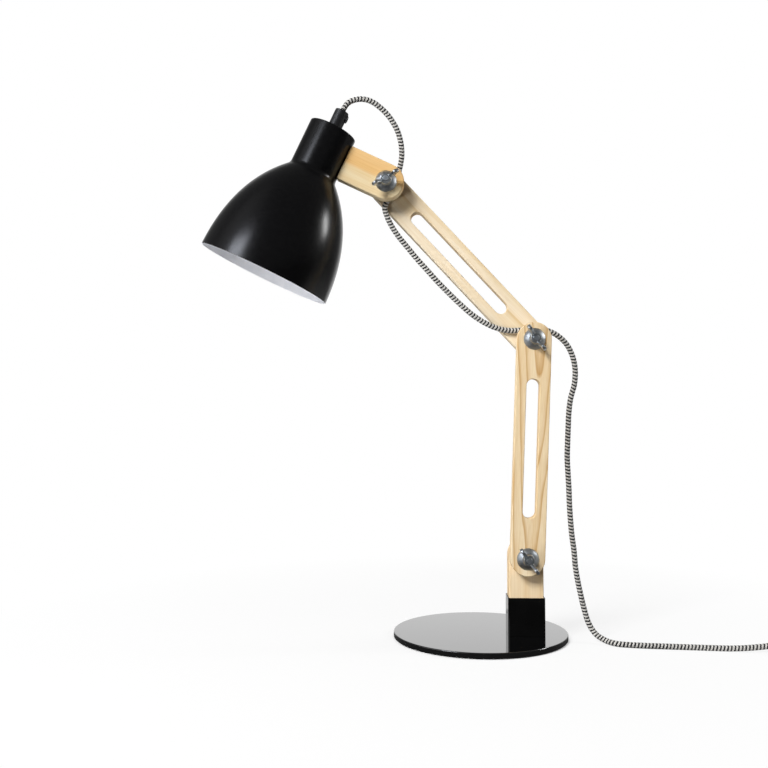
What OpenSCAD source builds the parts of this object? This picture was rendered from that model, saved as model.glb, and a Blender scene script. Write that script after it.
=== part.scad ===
// Work lamp with a round base, two slotted pine arms on wing-nut pivots and a bell shade.
// Millimetres. The origin is the centre of the base on the table, +Z up.
// The arms swing in planes parallel to X-Z; the head points to -X and the wing nuts face -Y.

/* [Base] */
// Diameter of the base plate
base_d = 160; // [140:1:200]
// Thickness of the base plate
base_t = 4.7; // [3:0.1:8]
// Rounding of the plate's upper edge
base_edge = 0.8; // [0.2:0.1:1.5]
// Thickness of the table pad
pad_t = 0.8; // [0.5:0.1:2]
// How far the pad stays inside the plate's edge
pad_inset = 5; // [2:1:15]

/* [Post] */
// Distance of the post from the base centre
post_x = 40.4; // [20:0.2:48]
// Distance of the socket's front face from the base centre
socket_front = 22.5; // [14:0.5:30]
// Height of the socket
socket_h = 34.5; // [20:0.5:42]
// Wall of the socket
socket_wall = 1.2; // [0.8:0.1:2]
// Outer corner radius of the socket
socket_r = 1.6; // [0.9:0.1:3]
// Floor of the socket
socket_floor = 2; // [1:0.5:4]
// Depth of the post from front to back
post_d = 21.3; // [16:0.1:30]
// Gap round the post in its socket
post_gap = 0.15; // [0.05:0.05:0.5]
// Height of the base pivot above the table
pivot_h = 76.5; // [70:0.5:110]
// Distance between the two base screws
screw_pitch = 15; // [12:0.5:18]
// Length of the base screws
screw_l = 32; // [20:1:36]

/* [Arms] */
// Width of the arms and post
slat_w = 30.8; // [26:0.2:36]
// Thickness of the arms and bracket
slat_t = 11.5; // [9:0.5:16]
// Distance between an arm's two pivots
arm_pitch = 197; // [170:1:240]
// Width of the slot in each arm
slot_w = 12; // [6:0.5:16]
// Length of the slot in each arm
slot_l = 125; // [60:1:135]
// Lean of the lower arm away from the head, from upright
lower_lean = 2.1; // [0:0.1:10]
// Lean of the upper arm towards the head, from upright
upper_lean = 42.8; // [35:0.1:55]

/* [Pivots] */
// Diameter of the pivot bolts
bolt_d = 6; // [5:0.5:8]
// Play of a bolt in its bores, on the radius
bolt_play = 0.06; // [0.02:0.01:0.1]
// Diameter of a bolt's domed head
bolt_head_d = 15; // [13:0.5:20]
// Height of a bolt's domed head
bolt_head_h = 3.4; // [2.5:0.1:5]
// Length of a bolt's square neck
bolt_neck = 4; // [2:0.5:6]
// Diameter of the domed washers
washer_d = 20; // [16:0.2:24]
// Height of the domed washers
washer_h = 4.2; // [2.5:0.1:6]
// Sheet thickness of the domed washers
washer_t = 1; // [0.6:0.1:1.6]
// Hub height of the wing nuts
nut_h = 6.4; // [5:0.2:9]
// Hub diameter of the wing nuts at the washer
nut_d = 11; // [9.5:0.5:14]
// Tip to tip span of the wings
wing_span = 27.2; // [24:0.2:36]
// Radius of the round wing tips
wing_r = 3.6; // [2.5:0.1:4.5]
// Height of the wings above the washer
wing_h = 13; // [11:0.5:18]
// Thickness of the wings
wing_t = 2.4; // [1.5:0.1:3.5]
// Thickness of the shim between post and lower arm
shim_t = 0.5; // [0.3:0.1:2]
// Length of the spacers that let the cord through
spacer_l = 6; // [5.6:0.1:10]
// Outer diameter of the spacers and the shim
spacer_d = 10; // [8.5:0.5:12]

/* [Head] */
// Tilt of the shade's axis from upright
head_tilt = 25.5; // [15:0.5:40]
// Width of the head bracket
bracket_w = 33; // [26:0.2:36]
// Distance from the head pivot to the shade's axis
neck_reach = 65.2; // [55:0.1:90]
// How far the bracket's middle lies below the shade's top
bracket_drop = 23.4; // [20:0.2:26]
// Diameter of the bracket screws
bracket_screw_d = 4; // [3:0.5:5]
// Distance between the bracket screws
bracket_screw_pitch = 18; // [12:1:22]
// How deep the bracket screws go into the bracket
bracket_screw_l = 20; // [12:1:26]

/* [Shade] */
// Outer diameter of the shade's neck
neck_d = 45; // [42:0.2:56]
// Straight length of the neck
neck_l = 41.5; // [41:0.5:60]
// Rounding of the neck's top edge
neck_edge = 1; // [1:0.1:4]
// Radius of the hollow between neck and bell
neck_fillet = 7; // [3:0.5:10]
// Height of the whole shade
shade_h = 147.2; // [140:0.2:180]
// Diameter of the rim
rim_d = 124.4; // [115:0.2:160]
// Radius that the bell's shoulder bulges towards
shoulder_r = 61.2; // [48:0.2:66]
// Sheet thickness of the shade
shade_wall = 0.9; // [0.6:0.1:1.4]

/* [Lamp holder] */
// Diameter of the threaded stem through the shade's top
stem_d = 10; // [8:0.5:12]
// Diameter of the cord grip
grip_d = 13; // [12:0.5:18]
// Height of the cord grip above the shade
grip_h = 19.5; // [14:0.5:30]
// Width of the lock nut across its flats
lock_nut_w = 15; // [13.5:0.5:18]
// Thickness of the lock nut
lock_nut_t = 3.2; // [2:0.2:5]
// Outer diameter of the lamp holder
holder_d = 34; // [33:0.5:35]
// Height of the lamp holder's cap
holder_cap_h = 14; // [12:0.5:20]
// Height of the lamp holder's shell
holder_shell_h = 28; // [24:0.5:34]
// Wall of the lamp holder
holder_wall = 2.2; // [1.6:0.1:2.6]

/* [Bulb] */
// Thread diameter of the bulb's cap
bulb_cap_d = 26.2; // [25:0.1:27]
// Height of the bulb's cap
bulb_cap_h = 24; // [20:0.5:28]
// Diameter of the globe
globe_d = 60; // [45:1:62]
// Length of the globe
globe_l = 78; // [66:1:82]
// Wall of the globe
globe_wall = 1.2; // [0.8:0.1:2]

/* [Switch] */
// Length of the inline switch
switch_l = 58; // [50:1:70]
// Width of the inline switch
switch_w = 25; // [20:0.5:28]
// Corner radius of the switch
switch_r = 9; // [5:0.5:9]
// Height of the lower shell
switch_low_h = 6.5; // [5.5:0.5:8]
// Height of the upper shell
switch_up_h = 8; // [6.5:0.5:10]
// Wall of the switch shells
switch_wall = 2; // [1.5:0.1:2.5]
// Length of the rocker
rocker_l = 20; // [14:0.5:24]
// Width of the rocker
rocker_w = 10; // [8:0.5:14]
// Angle of the rocker from level when switched off
rocker_tilt = 8; // [5:1:10]

/* [Plug] */
// Width of the plug
plug_w = 35; // [33:0.5:38]
// Thickness of the plug
plug_t = 13.7; // [12:0.1:16]
// Length of the plug's body
plug_l = 36; // [30:1:42]
// Diameter of a pin
pin_d = 4; // [3.8:0.1:4.8]
// Free length of a pin
pin_l = 19; // [17:0.5:21]
// Distance between the pins
pin_pitch = 18.6; // [17:0.2:19]
// Length of the strain relief
sleeve_l = 24; // [20:1:40]

/* [Cord] */
// Diameter of the textile cord
cord_d = 5; // [4:0.1:5.2]
// Play of the cord in the pieces that it enters
cord_play = 0.2; // [0.1:0.05:0.5]
// Turns of the coil
coil_turns = 5.25; // [3.25:1:6.25]
// Radius where the coil's spiral turns back
coil_r = 20.6; // [20:0.2:26]
// Step from one turn or layer of the coil to the next
coil_step = 5.6; // [5.6:0.1:7]
// Width of the coil's tie
tie_w = 8; // [5:0.5:15]
// Thickness of the coil's tie
tie_t = 0.6; // [0.4:0.1:1.2]

/* [Hidden] */
$fn = 96;

// Colours
pine = "burlywood";
golden_pine = "#d8b27c";
black_enamel = "#141414";
black_plastic = "#1c1c1c";
zinc = "#b9bdc0";
felt = "#2b2b2b";
opal = "#f4f1e8";
brass = "#c9a85a";
braid = "#6d6d6d";

// Overshoot of cuts, seats between pieces that only touch, and the play of screws
over = 1;
seat = 0.05;
screw_play = 0.05;

// Heights and layers from front to back
base_top = pad_t + base_t;
socket_w = slat_w + 2 * (post_gap + socket_wall);
socket_d = post_d + 2 * (post_gap + socket_wall);
socket_front_y = -socket_front;
post_front_y = socket_front_y + socket_wall + post_gap;
post_back_y = post_front_y + post_d;
post_mid_y = (post_front_y + post_back_y) / 2;
lower_back_y = post_front_y - shim_t;
lower_front_y = lower_back_y - slat_t;
upper_front_y = lower_back_y + spacer_l;
upper_back_y = upper_front_y + slat_t;
head_mid_y = lower_back_y - slat_t / 2;

// Pivot places in the X-Z plane
elbow_x = post_x + arm_pitch * sin(lower_lean);
elbow_z = pivot_h + arm_pitch * cos(lower_lean);
head_x = elbow_x - arm_pitch * sin(upper_lean);
head_z = elbow_z + arm_pitch * cos(upper_lean);

// Directions that the wings point in as the lamp stands
base_nut_turn = 54.5;
elbow_nut_turn = 56;
head_nut_turn = -29;

// Fixed screw proportions
bolt_r = bolt_d / 2;
bore_r = bolt_r + bolt_play;
bolt_tip = 1.4;
base_screw_d = 5;
base_screw_head = 9;
base_screw_cone = 2.6;
bracket_head_d = 7.4;
bracket_head_t = 2;

// Shade profile, as radius and height below the flat top
neck_r = neck_d / 2;
rim_r = rim_d / 2;
hollow_c = [neck_r + neck_fillet, -neck_l];
bell_start = hollow_c + neck_fillet * [-cos(45), -sin(45)];
bell_bulge = bell_start + (shoulder_r - bell_start[0]) * [1, -1];
bell_end = [rim_r, -shade_h];
bell_steps = 18;
corner_steps = 5;
stem_hole_r = stem_d / 2 + screw_play;
// The flat screw heads seat on the neck's round inside, so their edges touch first
neck_in = neck_r - shade_wall;
head_sag = neck_in - sqrt(pow(neck_in, 2) - pow(bracket_head_d / 2, 2));

// Lamp holder and bulb heights below the shade's top
holder_top = shade_wall + lock_nut_t + 0.4;
shell_top = holder_top + holder_cap_h;
stem_end = holder_top + holder_wall + 4;
contact_top = shell_top + 1;
contact_t = 3;
bulb_top = contact_top + contact_t + 0.4;
globe_top = bulb_top + bulb_cap_h;
cap_nub_h = 3;

// Cord route from the grip to the switch
cord_r = cord_d / 2;
cord_sides = 8;
gap_y = lower_back_y + spacer_l / 2;
lay_z = cord_r + 0.05;
switch_x = 254;
switch_y = -49;
grip_depth = 8;
shade_up = [sin(head_tilt), 0, cos(head_tilt)];
shade_out = [-cos(head_tilt), 0, sin(head_tilt)];
grip_top = [head_x, head_mid_y, head_z] + neck_reach * shade_out + (bracket_drop + grip_h) * shade_up;

// Head loop: out of the grip, over, and down behind the bracket
head_loop = [
    grip_top - grip_depth * shade_up, grip_top, [-122.2, -27.5, 491.6], [-116.4, -27.5, 494.9],
    [-108.5, -27.3, 496], [-100.0, -26.5, 494.0], [-92.4, -25.4, 489.1], [-85.4, -24.3, 482.5], [-79.4, -23.2, 474.2],
    [-75.2, -22.0, 465.6], [-72.7, -20.6, 456], [-72.0, -19.4, 446.5], [-73.0, -18.8, 438]
];
// Bend between bracket and upper arm, round the spacer
head_bend = [[-75.0, gap_y, 429], [-76.4, gap_y, 420.2], [-79.8, gap_y, 411], [-85.0, gap_y, 404]];
// Run below the upper arm
arm_run = [
    [-87.8, gap_y, 397], [-86.0, gap_y, 389.5], [-81.6, gap_y, 380], [-75.2, gap_y, 370.2],
    [-67.0, gap_y, 360], [-58.4, gap_y, 349.4], [-49.2, gap_y, 339], [-39.6, gap_y, 328.2],
    [-29.6, gap_y, 317.8], [-19.4, gap_y, 307.8], [-9.0, gap_y, 298.4], [1.6, gap_y, 291],
    [12.4, gap_y, 285.6]
];
// Bend between the arms, over the elbow spacer
elbow_bend = [[23.6, gap_y, 282.7], [35.0, gap_y, 282.4], [47.0, gap_y, 283.4], [58.6, gap_y, 282.9]];
// Drop from the elbow to the table
drop = [
    [69.2, -18.4, 278.4], [78.2, -17.6, 270.2], [84.0, -16.6, 259], [86.5, -15.6, 246.5],
    [85.9, -14.6, 233.5], [82.6, -13.6, 220.5], [80.9, -12.8, 207], [80.3, -12.2, 193],
    [79.7, -12, 179], [79.3, -12, 165], [79.9, -12, 151], [80.6, -12, 137], [81.0, -12, 123],
    [81.8, -12, 109], [83.0, -12, 95], [84.8, -12, 81], [85.9, -12, 67], [87.9, -12, 54],
    [90.6, -12.2, 41], [93.4, -12.8, 28.6], [96.8, -14.4, 17], [102.2, -17.6, 8]
];
// Stretch on the table, up into the switch
floor_run = [
    [109.8, -24.4, 3.6], [118.2, -32.2, lay_z], [129, -36, lay_z], [142, -38.2, lay_z],
    [156, -39.8, lay_z], [170, -41.2, lay_z], [184, -42.6, lay_z], [198, -44, lay_z],
    [212, -45.6, 2.7], [226, -47.2, 3.6], [238, -48.4, 5], [248, -49, 6.2],
    [switch_x + 2 * cord_d, switch_y, switch_low_h]
];
route = concat(head_loop, head_bend, arm_run, elbow_bend, drop, floor_run);
head_end = len(head_loop) - 1;
bend_end = head_end + len(head_bend);
arm_end = bend_end + len(arm_run);
elbow_end = arm_end + len(elbow_bend);
drop_end = elbow_end + len(drop);

// Coil past the switch, wound in and out in two layers
coil_x = 352;
coil_y = switch_y + coil_r + coil_step * coil_turns / 2;
coil_z = cord_r + tie_t + 0.3;
coil_rings = 24;
coil_sides = 6;
coil_last = round(coil_turns * coil_rings);
coil_lead = switch_x + switch_l - 2 * cord_d;
function coil_bend(a) = 0.5 - 0.5 * cos(180 * min(1, max(0, a)));
function coil_at(i) =
    let (
        turn = i / coil_rings,
        back = turn - coil_turns / 2,
        r = coil_r + coil_step * abs(back),
        a = 360 * turn - 90
    )
    [coil_x + r * cos(a), coil_y + r * sin(a), coil_z + coil_step * coil_bend(back * 2 + 0.5)];
coil_body = [for (i = [0:coil_last]) coil_at(i)];
coil_out = coil_body[coil_last];
coil_start = [
    [coil_lead, switch_y, switch_low_h], [coil_lead + 3 * cord_d, switch_y, switch_low_h],
    [coil_lead + 6 * cord_d, switch_y, coil_z + 0.6]
];
coil_route = concat(coil_start, coil_body, [coil_out + [0, cord_d, 0]]);

// Plug beside the coil, pins away from it
plug_x = coil_out[0];
sleeve_y = coil_out[1] + 4 * cord_d;
plug_y = sleeve_y + sleeve_l;
plug_z = plug_t / 2 + 0.05;
tail_route = [
    coil_out + [0, cord_d, 0], coil_out + [0, 1.6 * cord_d, 0], [plug_x, sleeve_y - cord_d, plug_z + 0.5],
    [plug_x, sleeve_y, plug_z], [plug_x, sleeve_y + 2 * cord_d, plug_z]
];

// Sweep of a tube along points; the ring at each point is square to the route there
function unit(v) = v / norm(v);
function tangent(p, i) = unit(p[min(i + 1, len(p) - 1)] - p[max(i - 1, 0)]);
function carry(p, i) =
    i == 0
        ? unit(cross(tangent(p, 0), [0.12, 1, 0.08]))
        : let (t = tangent(p, i), n = carry(p, i - 1)) unit(n - (n * t) * t);
function ring(p, i, r, sides) =
    let (t = tangent(p, i), n = carry(p, i), b = cross(t, n))
    [for (k = [0:sides - 1]) p[i] + r * (cos(360 * k / sides) * n + sin(360 * k / sides) * b)];
module tube(p, first, last, r, sides) {
    rings = [for (i = [first:last]) ring(p, i, r, sides)];
    points = [for (one = rings) each one];
    n = len(rings) - 1;
    walls = [
        for (i = [0:n - 1], k = [0:sides - 1])
        let (a = i * sides + k, b = i * sides + (k + 1) % sides)
        each [[a, b, a + sides], [b, b + sides, a + sides]]
    ];
    ends = [
        for (k = [1:sides - 2])
        each [[0, k + 1, k], [n * sides, n * sides + k, n * sides + k + 1]]
    ];
    polyhedron(points, concat(walls, ends), convexity = 12);
}

// Measures that the source prints: the coil's least gap to itself and the cord's length
function line_length(p) = [for (i = [0:len(p) - 2]) norm(p[i + 1] - p[i])] * [for (i = [0:len(p) - 2]) 1];
coil_gap = min([
    for (i = [0:coil_last], j = [i + 6:coil_last]) norm(coil_body[i] - coil_body[j])
]) - cord_d;
echo(coil_gap_to_itself_mm = coil_gap);
echo(cord_length_mm = line_length(route) + line_length(coil_route) + line_length(tail_route));

// Frames
module facing_front() {
    rotate([90, 0, 0]) children();
}
module in_lower() {
    translate([post_x, 0, pivot_h]) rotate([0, lower_lean, 0]) children();
}
module in_upper() {
    translate([elbow_x, 0, elbow_z]) rotate([0, -upper_lean, 0]) children();
}
module in_head() {
    translate([head_x, head_mid_y, head_z]) rotate([0, head_tilt, 0]) children();
}
module on_shade_top() {
    in_head() translate([-neck_reach, 0, bracket_drop]) children();
}

// Shapes that repeat
module round_rect(w, d, r) {
    square([w - 2 * r, d], center = true);
    square([w, d - 2 * r], center = true);
    for (x = [-1, 1], y = [-1, 1]) translate([x * (w / 2 - r), y * (d / 2 - r)]) circle(r);
}
module slot_outline() {
    translate([0, arm_pitch / 2]) {
        square([slot_w, slot_l - slot_w], center = true);
        for (y = [-1, 1]) translate([0, y * (slot_l - slot_w) / 2]) circle(d = slot_w);
    }
}
module arm_outline() {
    difference() {
        union() {
            translate([-slat_w / 2, 0]) square([slat_w, arm_pitch]);
            circle(d = slat_w);
            translate([0, arm_pitch]) circle(d = slat_w);
        }
        slot_outline();
        circle(bore_r);
        translate([0, arm_pitch]) circle(bore_r);
    }
}
module arm_slat() {
    facing_front() linear_extrude(slat_t) arm_outline();
}
// Square pocket for a bolt's neck, sunk into a back face towards the front
module neck_pocket() {
    side = bolt_d + 2 * bolt_play;
    translate([-side / 2, -bolt_neck - seat, -side / 2]) cube([side, bolt_neck + seat + over, side]);
}
// Bolt with a domed head, a square neck and a chamfered tip; the head's seat is at z = 0
module carriage_bolt(l) {
    dome_r = (pow(bolt_head_d / 2, 2) + pow(bolt_head_h, 2)) / (2 * bolt_head_h);
    intersection() {
        translate([0, 0, dome_r - bolt_head_h]) sphere(dome_r);
        translate([0, 0, -bolt_head_h]) cylinder(h = bolt_head_h, d = bolt_head_d);
    }
    translate([-bolt_r, -bolt_r, 0]) cube([bolt_d, bolt_d, bolt_neck]);
    cylinder(h = l - bolt_tip / 2, r = bolt_r);
    translate([0, 0, l - bolt_tip / 2]) cylinder(h = bolt_tip / 2, r1 = bolt_r, r2 = bolt_r - bolt_tip / 2);
}
// Cup washer: a spherical cap of sheet with a flat crown that the nut sits on
module dome_washer() {
    dome_r = (pow(washer_d / 2, 2) + pow(washer_h + washer_t, 2)) / (2 * (washer_h + washer_t));
    centre = washer_h + washer_t - dome_r;
    difference() {
        intersection() {
            translate([0, 0, centre]) sphere(dome_r);
            cylinder(h = washer_h, d = washer_d);
        }
        intersection() {
            translate([0, 0, centre]) sphere(dome_r - washer_t);
            translate([0, 0, -over]) cylinder(h = washer_h + over - washer_t, d = washer_d);
        }
        translate([0, 0, -over]) cylinder(h = washer_h + 2 * over, r = bolt_r + 0.3);
    }
}
// Wing nut: a tapered hub and two rounded wings, seated at z = 0
module wing_nut() {
    tip_x = wing_span / 2 - wing_r;
    tip_z = wing_h - wing_r;
    root_x = nut_d / 2 - 2;
    difference() {
        union() {
            cylinder(h = nut_h, d1 = nut_d, d2 = nut_d - 1.6);
            for (side = [0, 180]) rotate([0, 0, side]) rotate([90, 0, 0])
                translate([0, 0, -wing_t / 2]) linear_extrude(wing_t) {
                    translate([tip_x, tip_z]) circle(wing_r);
                    polygon([
                        [root_x, 0.4], [nut_d / 2, 0.4], [tip_x + wing_r * cos(28), tip_z - wing_r * sin(28)],
                        [tip_x - wing_r * sin(35), tip_z + wing_r * cos(35)], [root_x, nut_h - 0.6]
                    ]);
                }
        }
        translate([0, 0, -over]) cylinder(h = wing_h + 2 * over, r = bore_r);
    }
}
module spacer(l) {
    difference() {
        cylinder(h = l, d = spacer_d);
        translate([0, 0, -over]) cylinder(h = l + 2 * over, r = bore_r);
    }
}
// Screw standing on its tip side: head seat at z = 0, shank along +z
module pan_screw(d, l, head_d, head_t) {
    translate([0, 0, -head_t]) cylinder(h = head_t, d1 = head_d - head_t, d2 = head_d);
    cylinder(h = l - d / 2, d = d);
    translate([0, 0, l - d / 2]) cylinder(h = d / 2, d1 = d, d2 = d / 2);
}

// Base
module base_plate() {
    r = base_d / 2;
    color(black_enamel) difference() {
        translate([0, 0, pad_t]) rotate_extrude() {
            square([r - base_edge, base_t]);
            square([r, base_t - base_edge]);
            translate([r - base_edge, base_t - base_edge]) circle(base_edge);
        }
        base_screw_places() base_screw_cut();
    }
}
module base_screw_places() {
    for (x = [-1, 1]) translate([post_x + x * screw_pitch / 2, post_mid_y, pad_t + 0.3]) children();
}
module base_screw_cut() {
    translate([0, 0, -over]) cylinder(h = over, d = base_screw_head + 2 * screw_play);
    cylinder(
        h = base_screw_cone,
        d1 = base_screw_head + 2 * screw_play,
        d2 = base_screw_d + 2 * screw_play
    );
    cylinder(h = screw_l + 2 * screw_play, d = base_screw_d + 2 * screw_play);
}
module base_pad() {
    color(felt) cylinder(h = pad_t, r = base_d / 2 - pad_inset);
}
module base_screws() {
    color(zinc) base_screw_places() {
        cylinder(h = base_screw_cone, d1 = base_screw_head, d2 = base_screw_d);
        cylinder(h = screw_l, d = base_screw_d);
    }
}
module post_socket() {
    inner_r = max(0.3, socket_r - socket_wall);
    color(black_enamel) translate([post_x, post_mid_y, base_top]) difference() {
        linear_extrude(socket_h) round_rect(socket_w, socket_d, socket_r);
        translate([0, 0, socket_floor]) linear_extrude(socket_h)
            round_rect(socket_w - 2 * socket_wall, socket_d - 2 * socket_wall, inner_r);
        for (x = [-1, 1]) translate([x * screw_pitch / 2, 0, -over])
            cylinder(h = socket_floor + 2 * over, d = base_screw_d + 2 * screw_play);
    }
}
module base_post() {
    foot = base_top + socket_floor;
    color(pine) difference() {
        translate([post_x, post_back_y, 0]) facing_front() linear_extrude(post_d) difference() {
            union() {
                translate([-slat_w / 2, foot]) square([slat_w, pivot_h - foot]);
                translate([0, pivot_h]) circle(d = slat_w);
            }
            translate([0, pivot_h]) circle(bore_r);
        }
        base_screw_places() base_screw_cut();
        translate([post_x, post_back_y, pivot_h]) neck_pocket();
    }
}
module base_bolt() {
    l = post_d + shim_t + slat_t + washer_h + nut_h + bolt_tip;
    color(zinc) translate([post_x, post_back_y, pivot_h]) facing_front() carriage_bolt(l);
}
module pivot_shim() {
    color(felt) translate([post_x, post_front_y, pivot_h]) facing_front() spacer(shim_t);
}
module base_washer() {
    color(zinc) in_lower() translate([0, lower_front_y, 0]) facing_front() dome_washer();
}
module base_wing_nut() {
    color(zinc) translate([post_x, lower_front_y - washer_h, pivot_h]) rotate([0, base_nut_turn, 0])
        facing_front() wing_nut();
}

// Lower arm and elbow
module lower_arm() {
    color(pine) in_lower() translate([0, lower_back_y, 0]) arm_slat();
}
module elbow_washer() {
    color(zinc) in_lower() translate([0, lower_front_y, arm_pitch]) facing_front() dome_washer();
}
module elbow_wing_nut() {
    color(zinc) translate([elbow_x, lower_front_y - washer_h, elbow_z]) rotate([0, elbow_nut_turn, 0])
        facing_front() wing_nut();
}
arm_bolt_l = 2 * slat_t + spacer_l + washer_h + nut_h + bolt_tip;
module elbow_bolt() {
    color(zinc) in_upper() translate([0, upper_back_y, 0]) facing_front() carriage_bolt(arm_bolt_l);
}
module elbow_spacer() {
    color(zinc) in_upper() translate([0, upper_front_y, 0]) facing_front() spacer(spacer_l);
}

// Upper arm and head pivot
module upper_arm() {
    color(pine) in_upper() difference() {
        translate([0, upper_back_y, 0]) arm_slat();
        for (z = [0, arm_pitch]) translate([0, upper_back_y, z]) neck_pocket();
    }
}
module head_bolt() {
    color(zinc) in_upper() translate([0, upper_back_y, arm_pitch]) facing_front() carriage_bolt(arm_bolt_l);
}
module head_spacer() {
    color(zinc) in_upper() translate([0, upper_front_y, arm_pitch]) facing_front() spacer(spacer_l);
}
module head_washer() {
    color(zinc) in_head() translate([0, -slat_t / 2, 0]) facing_front() dome_washer();
}
module head_wing_nut() {
    color(zinc) translate([head_x, lower_front_y - washer_h, head_z]) rotate([0, head_nut_turn, 0])
        facing_front() wing_nut();
}

// Head bracket, butted against the neck and held by two screws from inside it
module bracket_screw_places() {
    for (z = [-1, 1])
        translate([-neck_reach + neck_in - head_sag - screw_play, 0, z * bracket_screw_pitch / 2])
            rotate([0, 90, 0]) children();
}
bracket_end = neck_reach - neck_r - seat;
bracket_shank_l = head_sag + shade_wall + bracket_screw_l;
module head_bracket() {
    color(golden_pine) in_head() difference() {
        translate([0, slat_t / 2, 0]) facing_front() linear_extrude(slat_t) difference() {
            union() {
                circle(d = bracket_w);
                translate([-bracket_end, -bracket_w / 2]) square([bracket_end, bracket_w]);
            }
            circle(bore_r);
        }
        bracket_screw_places() cylinder(
            h = bracket_shank_l + 2 * screw_play,
            d = bracket_screw_d + 2 * screw_play
        );
    }
}
module bracket_screws() {
    color(zinc) in_head() bracket_screw_places()
        pan_screw(bracket_screw_d, bracket_shank_l, bracket_head_d, bracket_head_t);
}

// Shade: one spun sheet, a flat-topped neck that flares into a bell
function bell(t) = pow(1 - t, 2) * bell_start + 2 * t * (1 - t) * bell_bulge + t * t * bell_end;
function bell_slope(t) = unit((1 - t) * (bell_bulge - bell_start) + t * (bell_end - bell_bulge));
function bell_inside(t) = let (d = bell_slope(t)) bell(t) + shade_wall * [d[1], -d[0]];
function arc(c, r, a, b) = [
    for (i = [0:corner_steps]) let (s = a + (b - a) * i / corner_steps) c + r * [cos(s), sin(s)]
];
module shade_profile() {
    edge_c = [neck_r - neck_edge, -neck_edge];
    inner_edge = max(0.1, neck_edge - shade_wall);
    outside = concat(
        [[stem_hole_r, 0]],
        arc(edge_c, neck_edge, 90, 0),
        arc(hollow_c, neck_fillet, 180, 225),
        [for (i = [1:bell_steps]) bell(i / bell_steps)]
    );
    inside = concat(
        [for (i = [bell_steps:-1:1]) bell_inside(i / bell_steps)],
        arc(hollow_c, neck_fillet + shade_wall, 225, 180),
        arc(edge_c, inner_edge, 0, 90),
        [[stem_hole_r, -shade_wall]]
    );
    polygon(concat(outside, inside));
}
module shade() {
    color(black_enamel) difference() {
        on_shade_top() rotate_extrude() shade_profile();
        in_head() bracket_screw_places() translate([0, 0, -over])
            cylinder(h = head_sag + shade_wall + 3 * over, d = bracket_screw_d + 2 * screw_play);
    }
}

// Cord grip with its threaded stem, clamp screw and lock nut
grip_screw_d = 4;
grip_screw_z = grip_h - 5.5;
module cord_grip() {
    flare = 0.8;
    flange_t = 2;
    color(black_plastic) on_shade_top() difference() {
        union() {
            rotate_extrude() polygon([
                [0, -stem_end], [stem_d / 2, -stem_end], [stem_d / 2, 0], [grip_d / 2 + flare, 0],
                [grip_d / 2 + flare, flange_t], [grip_d / 2, flange_t + flare],
                [grip_d / 2, grip_h - flare], [grip_d / 2 - flare, grip_h], [0, grip_h]
            ]);
            translate([0, 0, grip_screw_z]) rotate([0, 90, 0]) cylinder(h = grip_d / 2 + 1, d = 7);
        }
        translate([0, 0, -stem_end - over]) cylinder(h = stem_end + grip_h + 2 * over, r = cord_r + cord_play);
        translate([0, 0, grip_screw_z]) rotate([0, 90, 0])
            cylinder(h = grip_d, d = grip_screw_d + 2 * screw_play);
    }
}
module grip_screw() {
    slot = 0.9;
    color(black_plastic) on_shade_top() translate([0, 0, grip_screw_z]) rotate([0, 90, 0]) difference() {
        translate([0, 0, cord_r + cord_play]) cylinder(h = grip_d / 2 - cord_r + 1.6, d = grip_screw_d);
        translate([-slot / 2, -grip_screw_d, grip_d / 2 + 1]) cube([slot, 2 * grip_screw_d, 3]);
    }
}
module lock_nut() {
    across_corners = lock_nut_w / cos(30);
    color(zinc) on_shade_top() translate([0, 0, -shade_wall - lock_nut_t]) difference() {
        cylinder(h = lock_nut_t, d = across_corners, $fn = 6);
        translate([0, 0, -over]) cylinder(h = lock_nut_t + 2 * over, r = stem_hole_r);
    }
}

// Lamp holder: a cap on the stem, a shell round the bulb's cap and a contact piece between them
module holder_cap() {
    r = holder_d / 2;
    slope = 4;
    color(black_plastic) on_shade_top() translate([0, 0, -holder_top]) rotate_extrude() polygon([
        [stem_hole_r, 0], [r - slope, 0], [r, -slope], [r, -holder_cap_h], [r - holder_wall, -holder_cap_h],
        [r - holder_wall, -slope - holder_wall / 2], [r - slope - holder_wall / 2, -holder_wall],
        [stem_hole_r, -holder_wall]
    ]);
}
module holder_shell() {
    color(black_plastic) on_shade_top() translate([0, 0, -shell_top - holder_shell_h]) difference() {
        cylinder(h = holder_shell_h, d = holder_d);
        translate([0, 0, -over])
            cylinder(h = holder_shell_h + 2 * over, d = holder_d - 2 * holder_wall);
    }
}
module holder_contact() {
    spring_t = 0.4;
    color(brass) on_shade_top() {
        translate([0, 0, -contact_top - contact_t + spring_t])
            cylinder(h = contact_t - spring_t, d = holder_d - 2 * holder_wall - 2 * seat);
        translate([0, 0, -contact_top - contact_t]) cylinder(h = spring_t, d = cap_nub_h * 3);
    }
}
module bulb_cap() {
    r = bulb_cap_d / 2;
    color(zinc) on_shade_top() translate([0, 0, -globe_top]) rotate_extrude() polygon([
        [0, 0], [r, 0], [r, bulb_cap_h - cap_nub_h * 2], [cap_nub_h * 1.4, bulb_cap_h - cap_nub_h],
        [cap_nub_h * 1.4, bulb_cap_h], [0, bulb_cap_h]
    ]);
}
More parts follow.
